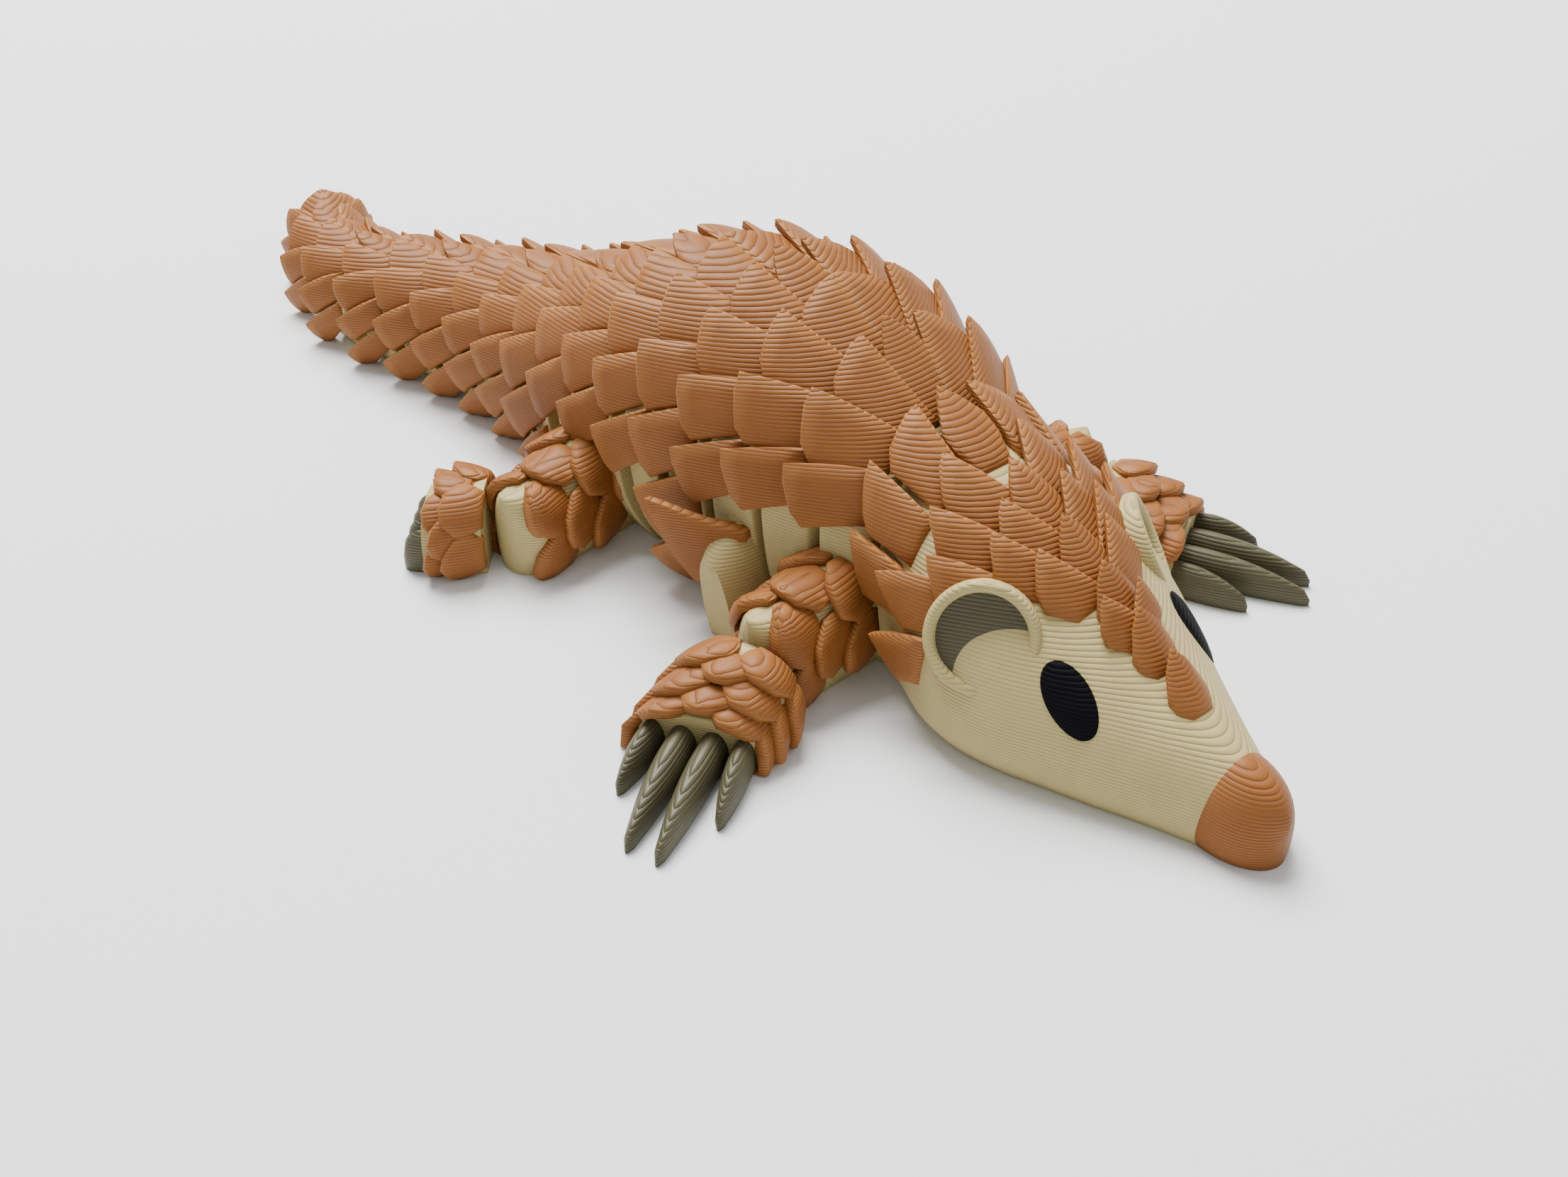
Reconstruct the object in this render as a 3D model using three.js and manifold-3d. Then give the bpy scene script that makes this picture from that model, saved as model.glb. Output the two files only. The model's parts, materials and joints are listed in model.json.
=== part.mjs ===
// Articulated pangolin toy: a small printed plastic animal, lying on its flat belly.
// Its body is a chain of scaled rings that yaw against each other on hidden pins,
// with four feet that swing on pins at the elbows and ankles.
// Millimetres, +Z up. The toy's right side faces -Y and its head points to +X and -Y.

import * as THREE from 'three';
import Module from 'manifold-3d';

const wasm = await Module();
wasm.setup();

// Driving dimensions of the chain of rings
const PITCH = 4.2;
const SEAM_GAP = 0.5;
const SEAM_LEAN = 12;
const HEAD_HEADING = -52;
const NECK_SEAM = [11.8, 79.15];

// Each ring from the neck to the last one before the tail tip:
// name, heading in degrees, length along the body, scales in its tier, wedge of its faces
const RINGS = [
  ['neck', -50.5, PITCH, 11, 2.0],
  ['torso_1', -48.5, PITCH, 12, 2.0],
  ['torso_2', -45, PITCH, 13, 2.0],
  ['torso_3', -41.5, PITCH, 12, 2.0],
  ['torso_4', -39.5, PITCH, 13, 2.0],
  ['torso_5', -39.5, PITCH, 12, 2.0],
  ['torso_6', -42, PITCH, 11, 2.0],
  ['tail_1', -43, PITCH, 10, 2.2],
  ['tail_2', -41.5, PITCH, 11, 2.4],
  ['tail_3', -38, PITCH, 10, 2.8],
  ['tail_4', -33, PITCH, 9, 3.2],
  ['tail_5', -29, PITCH, 8, 3.6],
  ['tail_6', -28, PITCH, 9, 5.0],
  ['tail_7', -39, 4.1, 8, 7.0],
  ['tail_8', -55, 4.0, 7, 10.0],
  ['tail_9', -71, 3.9, 8, 10.0],
];

// Half width and height of the bare body at each seam, from the neck seam backwards
const SEAM_SIZES = [
  [7.4, 13.5], [8.5, 15.5], [9.5, 16.8], [10.0, 17.3], [10.0, 17.1], [9.6, 16.1],
  [8.8, 14.4], [7.8, 12.5], [6.9, 10.8], [6.1, 9.5], [5.4, 8.5], [4.8, 7.8],
  [4.3, 7.2], [3.8, 6.6], [3.4, 6.1], [2.9, 5.5], [2.4, 4.9],
];

// Tail tip: heading, and [distance back, half width, height] behind its seam
const TAIL_TIP_HEADING = -87;
const TAIL_TIP = [[2.0, 2.0, 4.3], [3.8, 1.5, 3.6], [5.2, 0.8, 2.6]];
// Its tiers of scales: [scales, distance back, length, rise] and what the top ones add
const TAIL_TIP_TIERS = [[6, 0.6, 2.9, 1.4], [5, 2.7, 2.6, 1.3]];
const TAIL_TOP_EXTRA = { length: 0.4, rise: 0.1 };

// Head, measured forward from the neck seam: [place, half width, height, lean, arch power]
const HEAD_SECTIONS = [
  [20.2, 2.75, 5.3, 0, 2.0],
  [17.4, 4.1, 6.3, 0, 2.0],
  [14.8, 5.5, 7.3, 0, 1.9],
  [12.2, 6.8, 8.5, 0, 1.9],
  [9.6, 8.1, 9.8, 0, 1.9],
  [7.0, 8.9, 11.0, 2, 2.0],
  [4.6, 8.9, 12.1, 5, 2.1],
  [2.4, 8.2, 13.0, 9, 2.3],
  [0.25, 7.4, 13.5, 12, 2.5],
];
const HEAD_WIDEST = 0.24;
const HEAD_BASE = 0.86;
const NOSE = { x: 21.2, z: 2.65, radius: 2.75 };
const EYE = { x: 12.2, up: 6.2, radius: 1.85, depth: 0.9, sunk: 0.35 };
const EAR = { x: 6.9, side: 6.6, up: 8.0, facing: [0.55, 0.7, 0.45], rim: 3.3, well: 2.6 };
const EAR_DEPTH = { back: 2.6, floor: 0.75, lining: 0.5, lip: 0.45 };

// Crown scales: [tip ahead of the neck seam, arc from the middle line, length, width]
const CROWN_SCALES = [
  [14.4, 0, 3.0, 2.6],
  [11.8, 0, 2.9, 2.9],
  [10.3, 2.1, 2.8, 2.3],
  [9.0, 0, 2.9, 3.1],
  [6.9, 3.4, 3.6, 3.0],
  [6.3, 0, 3.2, 3.3],
  [5.1, 5.2, 3.5, 3.0],
  [4.3, 2.6, 3.5, 3.1],
  [3.6, 8.2, 3.6, 3.3],
  [2.6, 5.8, 3.6, 3.3],
  [1.4, 10.4, 3.9, 3.6],
  [1.4, 13.8, 3.8, 3.6],
];
const CROWN_RISE = 1.7;
const CROWN_SKEW = 1.3;
const NAPE_TIER = { count: 8, from: 3.9, past: 0.7, share: 0.6 };

// Bare shoulder bulges on ring torso_2: [out from the middle line, half width, height]
const SHOULDER = [[6.5, 1.8, 8.2], [10.4, 1.75, 7.2], [12.2, 1.2, 5.6]];
const SHOULDER_SCALE = { front: 0.6, low: 5.0, length: 4.8, width: 5.0, rise: 3.6 };

// Elbow stubs on ring torso_1 and thigh stubs on ring torso_6. Their pins stand ahead of
// the ring's middle and out from the middle line; rows are [out, half width, height].
const STUBS = {
  front: {
    ring: 'torso_1',
    ahead: 1.8,
    out: 12.0,
    rows: [[6.0, 2.8, 7.6], [9.6, 2.75, 7.0], [12.0, 2.7, 6.4]],
    scales: [[3.2, 0, 4.4, 4.6]],
  },
  hind: {
    ring: 'torso_6',
    ahead: 1.2,
    out: 13.5,
    rows: [[5.0, 2.9, 8.0], [9.8, 2.85, 7.0], [13.5, 2.7, 5.8]],
    scales: [[4.6, 0, 4.6, 4.6]],
  },
};
const LIMB_PIN_HEIGHT = 2.6;
const LIMB_RANGE_SPARE = 22;
// Share of the way down a ring's side below which it has no scales
const LOW_SCALES = {
  neck: 0.62,
  torso_1: 0.58,
  torso_2: 0.62,
  torso_4: 0.72,
  torso_5: 0.68,
  torso_6: 0.6,
};

// Limbs: swing forwards from straight out, length from pin to claws, how much further
// forwards the claws point, and how far the limb can turn back and forwards (degrees)
const FRONT_RIGHT = { hand: -1, stub: 'front', swing: 11, reach: 7.9, bend: 20, back: 12, forth: 40 };
const FRONT_LEFT = { hand: 1, stub: 'front', swing: 72, reach: 9.2, bend: -5, back: 40, forth: 5 };
const HIND_RIGHT = { hand: -1, stub: 'hind', swing: -51, reach: 7.0, bend: 0, back: 8, forth: 40 };
const HIND_LEFT = { hand: 1, stub: 'hind', swing: 22, reach: 7.0, bend: 0, back: 30, forth: 15 };
const LIMBS = [
  { name: 'front_leg_right', ...FRONT_RIGHT },
  { name: 'front_leg_left', ...FRONT_LEFT },
  { name: 'hind_leg_right', ...HIND_RIGHT },
  { name: 'hind_leg_left', ...HIND_LEFT },
];
// Rows of a limb: [share of the reach, half width, height]; its scales: [back from the
// pin, arc from the middle line, length, width, rise]
const LIMB_FORMS = {
  front: {
    rows: [[0.1, 3.1, 5.6], [0.55, 3.6, 4.9], [1.0, 3.7, 3.1]],
    scales: [[2.6, 2.3, 3.0, 2.9, 1.0], [3.9, 0, 3.4, 3.2, 1.2], [5.1, 2.6, 2.9, 2.7, 0.9]],
  },
  hind: {
    rows: [[0.1, 2.8, 5.4], [0.55, 3.0, 5.3], [1.0, 2.9, 4.4]],
    scales: [[2.7, 0, 3.6, 3.4, 1.1], [3.6, 2.8, 3.2, 2.9, 0.9]],
  },
};
// Front claws: [name, across at the root, across at the tip, length, half width]
const FRONT_CLAWS = [
  ['claw_1', -2.75, -3.3, 4.2, 0.75],
  ['claw_2', -0.95, -1.3, 8.0, 0.9],
  ['claw_3', 0.95, 0.6, 8.4, 0.9],
  ['claw_4', 2.75, 2.9, 5.0, 0.75],
];
const CLAW_HEIGHT = 2.3;
const CLAW_ROOT = 1.6;
const TOE = { count: 4, spacing: 1.3, halfWidth: 0.72, height: 3.0, length: 1.5, root: 1.2 };
// Claw and toe along their length: [share of the length, of the width, of the height]
const CLAW_SHAPE = [[0, 1, 1], [0.55, 0.85, 0.85], [1, 0.2, 0.35]];
const CLAW_ROOT_HEIGHT = 0.9;
const TOE_SHAPE = [[0.2, 1, 1], [0.75, 0.85, 0.8], [1, 0.5, 0.5]];

// Section of the body: a squared arch on a flat belly
const BELLY_RATIO = 0.8;
const WIDEST_AT = 0.3;
const ARCH_POWER = 2.5;
const OUTLINE_STEPS = 7;

// Pin joints between rings. A pin stands at a share of the body's height, or at its
// lowest place; the mouth of its pocket is wider on a narrow body.
const PIN_LOWEST = 2.6;
const PIN_SHARE = 0.33;
const MOUTH = { base: 1.1, rate: 2.2, least: 1.35, most: 1.75, length: 3 };
const PIN_RADIUS = 0.9;
const PIN_HEIGHT = 2.2;
const PIN_DEPTH = 1.25;
const PIN_CLEARANCE = 0.3;
const PIN_NECK = 0.8;
const PIN_SIDES = 8;
const PIN_ROOT = PIN_DEPTH + SEAM_GAP / 2 + 0.8;
const LIMB_PIN_ROOT = 1.4;

// Scales: thickness, distance behind a ring's front face, depth of the root in the skin
// and width as a share of the tier's spacing
const SCALE_THICKNESS = 0.75;
const SCALE_SETBACK = 0.3;
const SCALE_ROOT = 0.6;
const SCALE_OVERLAP = 0.95;
const STUB_SCALE_RISE = 1.3;
// How far a ring's scales pass its rear face and rise, on the smallest and widest bodies
const SMALL_BODY = 0.55;
const WIDE_HALF_WIDTH = 9;
const SCALE_PAST = { side: [0.4, 1.05], top: [0.8, 1.6] };
const SCALE_RISE = { side: [1.85, 1.95], top: [1.95, 2.3] };
// How far the front of a ring's side scales stands higher than their rear: at least, at
// most, and for each millimetre by which the ring's outline grows rearwards
const SCALE_SKEW = { least: 0.3, most: 2.0, base: 0.6, rate: 1.1 };
const NAPE_RISE = { side: 2.2, top: 2.4, topExtra: 0.5 };
// Share of the way down at which a tier's scales reach their side size
const TOP_SHARE = 0.6;

// Clearances: between the bodies of one piece, and the length under which points merge
const NODE_GAP = 0.3;
const WELD = 0.02;
// Room kept free for the ring in front of a stub: [above this height, clearance]
const FRONT_ROOM = [[0, 0.9], [5.0, 3.4]];
const FRONT_ROOM_DEPTH = 10;
// Round end of a stub: shares of its radius at which a section stands
const STUB_ROUND = [0.45, 0.8, 0.97];
// Room in a limb for its stub's round end as the limb swings
const SWING_ROOM = { length: 9, spare: 0.15, round: 0.1, top: 12, steps: 6, sides: 24 };

const COLOURS = {
  caramel: '#b06f3f',
  cream: '#d9cda6',
  olive: '#57523c',
  black: '#141517',
};

const SIDES = [[-1, 'right'], [1, 'left']];
const rad = THREE.MathUtils.degToRad;

function lerp(a, b, t) {
  return a + (b - a) * t;
}

// Shells: a section carried along a list of stations

// Half of a section's outline from the top centre down to the floor,
// as points [sideways, up] at equal steps along the arc
function halfOutline(station, steps) {
  const { halfWidth, height, power, widest, base } = station;
  const waist = widest * height;
  const raw = [];
  const fine = 48;
  for (let i = 0; i <= fine; i += 1) {
    const angle = (Math.PI / 2) * (1 - i / fine);
    const side = halfWidth * Math.cos(angle) ** (2 / power);
    raw.push([side, waist + (height - waist) * Math.sin(angle) ** (2 / power)]);
  }
  for (let i = 1; i <= 12; i += 1) {
    const up = waist * (1 - i / 12);
    const side = halfWidth * (base + (1 - base) * Math.sin((up / waist) * (Math.PI / 2)));
    raw.push([side, up]);
  }
  const reach = [0];
  for (let i = 1; i < raw.length; i += 1) {
    const step = Math.hypot(raw[i][0] - raw[i - 1][0], raw[i][1] - raw[i - 1][1]);
    reach.push(reach[i - 1] + step);
  }
  const total = reach[reach.length - 1];
  const at = (length) => {
    const goal = Math.min(Math.max(length, 0), total);
    let i = 1;
    while (i < raw.length - 1 && reach[i] < goal) i += 1;
    const part = (goal - reach[i - 1]) / (reach[i] - reach[i - 1]);
    return [lerp(raw[i - 1][0], raw[i][0], part), lerp(raw[i - 1][1], raw[i][1], part)];
  };
  const points = [];
  for (let i = 0; i <= steps; i += 1) points.push(at((total * i) / steps));
  return { points, at, total };
}

const STATION_DEFAULTS = {
  y: 0,
  floor: 0,
  turn: 0,
  lean: 0,
  power: ARCH_POWER,
  widest: WIDEST_AT,
  base: BELLY_RATIO,
  wedge: 0,
};

// Mix two stations; past the last one the size runs on at the same rate
function mixStations(a, b, t) {
  const mixed = {};
  for (const key of Object.keys(a)) mixed[key] = lerp(a[key], b[key], t);
  return mixed;
}

// A point of a station's section, in the piece's own frame
function place(station, side, up) {
  const back = up * Math.tan(rad(station.lean)) + Math.abs(side) * station.wedge;
  const turn = rad(station.turn);
  return new THREE.Vector3(
    station.x - back * Math.cos(turn) - side * Math.sin(turn),
    station.y - back * Math.sin(turn) + side * Math.cos(turn),
    station.floor + up,
  );
}

// A shell runs backwards (to smaller x) from its first station to its last
function makeShell(rows) {
  const stations = rows.map((row) => ({ ...STATION_DEFAULTS, ...row }));
  const travel = [0];
  for (let i = 1; i < stations.length; i += 1) {
    const a = stations[i - 1];
    const b = stations[i];
    travel.push(travel[i - 1] + Math.hypot(b.x - a.x, b.y - a.y));
  }
  const length = travel[travel.length - 1];

  function stationAt(distance) {
    let i = 1;
    while (i < stations.length - 1 && travel[i] < distance) i += 1;
    const t = (distance - travel[i - 1]) / (travel[i] - travel[i - 1]);
    return mixStations(stations[i - 1], stations[i], t);
  }

  // Point on the skin: distance back from the first station, side -1 or 1,
  // arc length down from the top, and height above the skin
  function point(distance, side, arc, rise) {
    const station = { ...stationAt(distance), wedge: 0 };
    const around = side * arc;
    const way = Math.sign(around) || 1;
    const outline = halfOutline(station, 1);
    const step = 0.05;
    const spot = outline.at(Math.abs(around));
    const up = outline.at(Math.abs(around) - step);
    const down = outline.at(Math.abs(around) + step);
    const slope = new THREE.Vector2(down[0] - up[0], down[1] - up[1]).normalize();
    const flat = place(station, way * spot[0], spot[1]);
    const out = place(station, way * (spot[0] - slope.y), spot[1] + slope.x);
    return flat.add(out.sub(flat).multiplyScalar(rise));
  }

  function solid(steps = OUTLINE_STEPS) {
    const loops = stations.map((station) => {
      const half = halfOutline(station, steps).points;
      const loop = [place(station, 0, 0)];
      for (let i = half.length - 1; i >= 0; i -= 1) loop.push(place(station, half[i][0], half[i][1]));
      for (let i = 1; i < half.length; i += 1) loop.push(place(station, -half[i][0], half[i][1]));
      return loop;
    });
    return solidFromLoops(loops);
  }

  return { stations, length, stationAt, point, solid };
}

// Solids and Boolean work

function solidFromFaces(vertices, faces) {
  let volume = 0;
  for (const [a, b, c] of faces) {
    volume += vertices[a].dot(vertices[b].clone().cross(vertices[c]));
  }
  const turned = volume < 0 ? faces.map(([a, b, c]) => [a, c, b]) : faces;
  const vertProperties = new Float32Array(vertices.flatMap((v) => [v.x, v.y, v.z]));
  const triVerts = new Uint32Array(turned.flat());
  return new wasm.Manifold(new wasm.Mesh({ numProp: 3, vertProperties, triVerts }));
}

// Closed body through equal loops. Index 0 of a loop is its floor centre,
// and both ends close as two flat halves that meet on the middle line.
function solidFromLoops(loops) {
  const count = loops[0].length;
  const vertices = loops.flat();
  const faces = [];
  for (let i = 0; i + 1 < loops.length; i += 1) {
    for (let j = 0; j < count; j += 1) {
      const k = (j + 1) % count;
      const [a, b] = [i * count + j, i * count + k];
      const [c, d] = [a + count, b + count];
      faces.push([a, c, b], [b, c, d]);
    }
  }
  const last = (loops.length - 1) * count;
  for (let j = 1; j + 1 < count; j += 1) {
    faces.push([0, j, j + 1], [last, last + j + 1, last + j]);
  }
  return solidFromFaces(vertices, faces);
}

// Box given by its centre line in plan and its floor and top
function barSolid(from, to, width, floor, top) {
  const along = new THREE.Vector2(to[0] - from[0], to[1] - from[1]).normalize();
  const across = new THREE.Vector2(-along.y, along.x).multiplyScalar(width / 2);
  const vertices = [];
  for (const z of [floor, top]) {
    for (const [end, way] of [[from, 1], [to, 1], [to, -1], [from, -1]]) {
      vertices.push(new THREE.Vector3(end[0] + way * across.x, end[1] + way * across.y, z));
    }
  }
  const faces = [[0, 1, 2], [0, 2, 3], [4, 6, 5], [4, 7, 6]];
  for (let j = 0; j < 4; j += 1) {
    const k = (j + 1) % 4;
    faces.push([j, k + 4, k], [j, j + 4, k + 4]);
  }
  return solidFromFaces(vertices, faces);
}

// A geometry of the three library as a solid, with its shared points merged
function solidFromGeometry(geometry, matrix) {
  const shape = geometry.clone().applyMatrix4(matrix);
  const { array } = shape.getAttribute('position');
  const index = shape.index.array;
  const seen = new Map();
  const vertices = [];
  const remap = [];
  for (let i = 0; i < array.length; i += 3) {
    const key = [array[i], array[i + 1], array[i + 2]].map((v) => Math.round(v * 1e4)).join();
    if (!seen.has(key)) {
      seen.set(key, vertices.length);
      vertices.push(new THREE.Vector3(array[i], array[i + 1], array[i + 2]));
    }
    remap.push(seen.get(key));
  }
  const faces = [];
  for (let i = 0; i < index.length; i += 3) {
    const face = [remap[index[i]], remap[index[i + 1]], remap[index[i + 2]]];
    if (new Set(face).size === 3) faces.push(face);
  }
  return solidFromFaces(vertices, faces);
}

// Upright pin or drum
function drumSolid(x, y, radius, floor, top, sides) {
  const geometry = new THREE.CylinderGeometry(radius, radius, top - floor, sides);
  const matrix = new THREE.Matrix4().makeRotationX(Math.PI / 2);
  matrix.setPosition(x, y, (floor + top) / 2);
  return solidFromGeometry(geometry, matrix);
}

function ballSolid(centre, radii, columns, rows) {
  const matrix = new THREE.Matrix4().makeRotationX(Math.PI / 2);
  const stretch = new THREE.Matrix4().makeScale(radii[0], radii[1], radii[2]);
  matrix.premultiply(stretch).setPosition(centre[0], centre[1], centre[2]);
  return solidFromGeometry(new THREE.SphereGeometry(1, columns, rows), matrix);
}

// Copy of a solid turned about Z and then shifted in plan
function movedSolid(solid, degrees, x, y) {
  const matrix = new THREE.Matrix4().makeRotationZ(rad(degrees)).setPosition(x, y, 0);
  const { vertProperties, triVerts, numProp } = solid.getMesh();
  const vertices = [];
  for (let i = 0; i < vertProperties.length; i += numProp) {
    const [px, py, pz] = vertProperties.slice(i, i + 3);
    vertices.push(new THREE.Vector3(px, py, pz).applyMatrix4(matrix));
  }
  const faces = [];
  for (let i = 0; i < triVerts.length; i += 3) faces.push([...triVerts.slice(i, i + 3)]);
  return solidFromFaces(vertices, faces);
}

function joined(solids) {
  return solids.reduce((whole, piece) => whole.add(piece));
}

// Everything below the floor plane goes, and only the largest body stays
function trimmed(solid, reach = 60) {
  const slab = barSolid([-reach, 0], [reach, 0], 2 * reach, -20, 0);
  const parts = solid.subtract(slab).decompose();
  return parts.reduce((best, piece) => (piece.volume() > best.volume() ? piece : best));
}

// Points of a solid closer together than the weld length become one, and the faces
// between them go
function weldedFaces(solid, weld) {
  const { vertProperties, triVerts, numProp } = solid.getMesh();
  const points = [];
  for (let i = 0; i < vertProperties.length; i += numProp) {
    points.push(new THREE.Vector3(vertProperties[i], vertProperties[i + 1], vertProperties[i + 2]));
  }
  const owner = points.map((_, i) => i);
  const find = (i) => (owner[i] === i ? i : find(owner[i]));
  for (let i = 0; i < triVerts.length; i += 1) {
    const a = find(triVerts[i]);
    const b = find(triVerts[i % 3 === 2 ? i - 2 : i + 1]);
    if (a !== b && points[a].distanceTo(points[b]) < weld) owner[Math.max(a, b)] = Math.min(a, b);
  }
  const faces = [];
  for (let i = 0; i < triVerts.length; i += 3) {
    const face = [find(triVerts[i]), find(triVerts[i + 1]), find(triVerts[i + 2])];
    if (new Set(face).size === 3) faces.push(face);
  }
  return { points, faces };
}

function meshOf(name, solid, colour, roughness = 0.5) {
  const { points, faces } = weldedFaces(solid, WELD);
  const used = [...new Set(faces.flat())];
  const renumbered = new Map(used.map((old, index) => [old, index]));
  const positions = used.flatMap((index) => points[index].toArray());
  const geometry = new THREE.BufferGeometry();
  geometry.setAttribute('position', new THREE.Float32BufferAttribute(positions, 3));
  geometry.setIndex(faces.flat().map((index) => renumbered.get(index)));
  geometry.computeVertexNormals();
  const material = new THREE.MeshStandardMaterial({ color: COLOURS[colour], roughness });
  const mesh = new THREE.Mesh(geometry, material);
  mesh.name = name;
  return mesh;
}

// Scales

// Corners of a scale as shares of its length, its width and its rise at the tip:
// distance back from its front edge, place up its width, height of the outer face
const SIDE_SCALE = [
  [0.0, -0.42, 0.06],
  [0.0, 0.4, 0.2],
  [1.0, 0.5, 1.0],
  [0.6, -0.49, 0.45],
];
const MIDDLE_SCALE = [
  [0.0, -0.36, 0.15],
  [0.0, 0.36, 0.15],
  [0.55, 0.5, 0.6],
  [1.0, 0.0, 1.0],
  [0.55, -0.5, 0.6],
];

// A raised plate on a shell, its front edge at a distance back from the first station,
// its middle at an arc length down from the top; tips point back and up
function scaleSolid(shell, { front, side, arc, length, width, rise, skew = 0 }) {
  const corners = side === 0 ? MIDDLE_SCALE : SIDE_SCALE;
  const outer = [];
  const inner = [];
  for (const [along, up, height] of corners) {
    const distance = front + along * length;
    const down = side === 0 ? up * width : arc - up * width - skew * (1 - along);
    const way = side === 0 ? 1 : side;
    const lift = height * rise;
    const under = Math.max(lift - SCALE_THICKNESS, -SCALE_ROOT);
    const rooted = along === 0 ? -SCALE_ROOT : under;
    outer.push(shell.point(distance, way, down, lift));
    inner.push(shell.point(distance, way, down, rooted));
  }
  const count = corners.length;
  const faces = [];
  for (let j = 1; j + 1 < count; j += 1) {
    faces.push([0, j, j + 1], [count, count + j + 1, count + j]);
  }
  for (let j = 0; j < count; j += 1) {
    const k = (j + 1) % count;
    faces.push([j, count + j, k], [k, count + j, count + k]);
  }
  return solidFromFaces([...outer, ...inner], faces);
}

// One tier of scales round a shell, even tiers with one on the middle line.
// keep(arc) says which of them are made.
function scaleTier(shell, spec) {
  const { count, front, length, rise, topLength, topRise, skew = 0, keep = () => true } = spec;
  const station = shell.stationAt(front + length / 2);
  const outline = halfOutline(station, 1);
  const spacing = (2 * outline.total) / count;
  const width = spacing * SCALE_OVERLAP;
  const scales = [];
  const first = count % 2 === 1 ? 0 : 0.5;
  for (let i = 0; (first + i) * spacing < outline.total - 0.3 * spacing; i += 1) {
    const arc = (first + i) * spacing;
    const high = Math.max(0, 1 - arc / (TOP_SHARE * outline.total));
    const size = {
      front,
      arc,
      width,
      skew,
      length: lerp(length, topLength, high),
      rise: lerp(rise, topRise, high),
    };
    if (!keep(arc / outline.total)) continue;
    if (arc === 0) {
      scales.push(scaleSolid(shell, { ...size, side: 0 }));
    } else {
      scales.push(scaleSolid(shell, { ...size, side: 1 }));
      scales.push(scaleSolid(shell, { ...size, side: -1 }));
    }
  }
  return scales;
}

// Pin joints

// Height of the pin in a joint between bodies of this height, and its distance
// in front of the seam's foot
function pinPlace(height) {
  const middle = Math.max(PIN_LOWEST, PIN_SHARE * height);
  return { middle, ahead: PIN_DEPTH - middle * Math.tan(rad(SEAM_LEAN)) };
}

// Pin on the front of a ring: x is where the pin stands, root how far its neck reaches back
function pinSolid(x, middle, root) {
  const floor = middle - PIN_HEIGHT / 2;
  const top = middle + PIN_HEIGHT / 2;
  const pin = drumSolid(x, 0, PIN_RADIUS, floor, top, PIN_SIDES);
  return pin.add(barSolid([x, 0], [x - root, 0], PIN_NECK, floor, top));
}

// Room for that pin in the back of the piece in front, with a mouth for its neck
function pocketSolid(x, middle, mouth) {
  const floor = middle - PIN_HEIGHT / 2 - PIN_CLEARANCE;
  const top = middle + PIN_HEIGHT / 2 + PIN_CLEARANCE;
  const room = drumSolid(x, 0, PIN_RADIUS + PIN_CLEARANCE, floor, top, PIN_SIDES);
  return room.add(barSolid([x, 0], [x - MOUTH.length, 0], mouth, floor, top));
}

function mouthWidth(halfWidth) {
  return THREE.MathUtils.clamp(MOUTH.base + MOUTH.rate / halfWidth, MOUTH.least, MOUTH.most);
}

// Body rings

function seamSize(index) {
  const [halfWidth, height] = SEAM_SIZES[index];
  return { halfWidth, height };
}

// Bare ring between two seams, in its own frame: x forward, origin at its middle
function ringShell(index) {
  const [, , pitch, , wedge] = RINGS[index];
  const half = (pitch - SEAM_GAP) / 2;
  const slope = Math.tan(rad(wedge));
  return makeShell([
    { x: half, lean: SEAM_LEAN, wedge: slope, ...seamSize(index) },
    { x: -half, lean: SEAM_LEAN, wedge: -slope, ...seamSize(index + 1) },
  ]);
}

function ringScales(index, shell, keep) {
  const [, , pitch, count, wedge] = RINGS[index];
  const { halfWidth } = seamSize(index);
  const grown = THREE.MathUtils.clamp(halfWidth / WIDE_HALF_WIDTH, SMALL_BODY, 1);
  const front = SCALE_SETBACK + halfWidth * Math.tan(rad(wedge));
  const past = pitch - SEAM_GAP / 2 - front - 2 * Math.tan(rad(wedge));
  const [fore, aft] = shell.stations.map((station) => halfOutline(station, 1).total);
  const { least, most, base, rate } = SCALE_SKEW;
  return scaleTier(shell, {
    count,
    front,
    length: past + lerp(...SCALE_PAST.side, grown),
    rise: lerp(...SCALE_RISE.side, grown),
    topLength: past + lerp(...SCALE_PAST.top, grown),
    topRise: lerp(...SCALE_RISE.top, grown),
    skew: THREE.MathUtils.clamp(base + rate * (aft - fore), least, most),
    keep,
  });
}

function ringSolid(index, keep = () => true) {
  const shell = ringShell(index);
  const pitch = RINGS[index][2];
  const frontPin = pinPlace(SEAM_SIZES[index][1]);
  const rearPin = pinPlace(SEAM_SIZES[index + 1][1]);
  const mouth = mouthWidth(SEAM_SIZES[index + 1][0]);
  const body = joined([shell.solid(), ...ringScales(index, shell, keep)]);
  const carved = body.subtract(pocketSolid(rearPin.ahead - pitch / 2, rearPin.middle, mouth));
  return carved.add(pinSolid(frontPin.ahead + pitch / 2, frontPin.middle, PIN_ROOT));
}

// Head

function headShell(grow = 0) {
  return makeShell(HEAD_SECTIONS.map(([x, halfWidth, height, lean, power]) => ({
    x,
    halfWidth: halfWidth + grow,
    height: height + grow,
    lean,
    power,
    widest: HEAD_WIDEST,
    base: HEAD_BASE,
  })));
}

// Arc length down from the top where a shell's skin has this height
function arcAtHeight(shell, distance, up) {
  const station = shell.stationAt(distance);
  const outline = halfOutline(station, 60);
  const index = outline.points.findIndex(([, z]) => z < up);
  return (outline.total * index) / 60;
}

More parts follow.
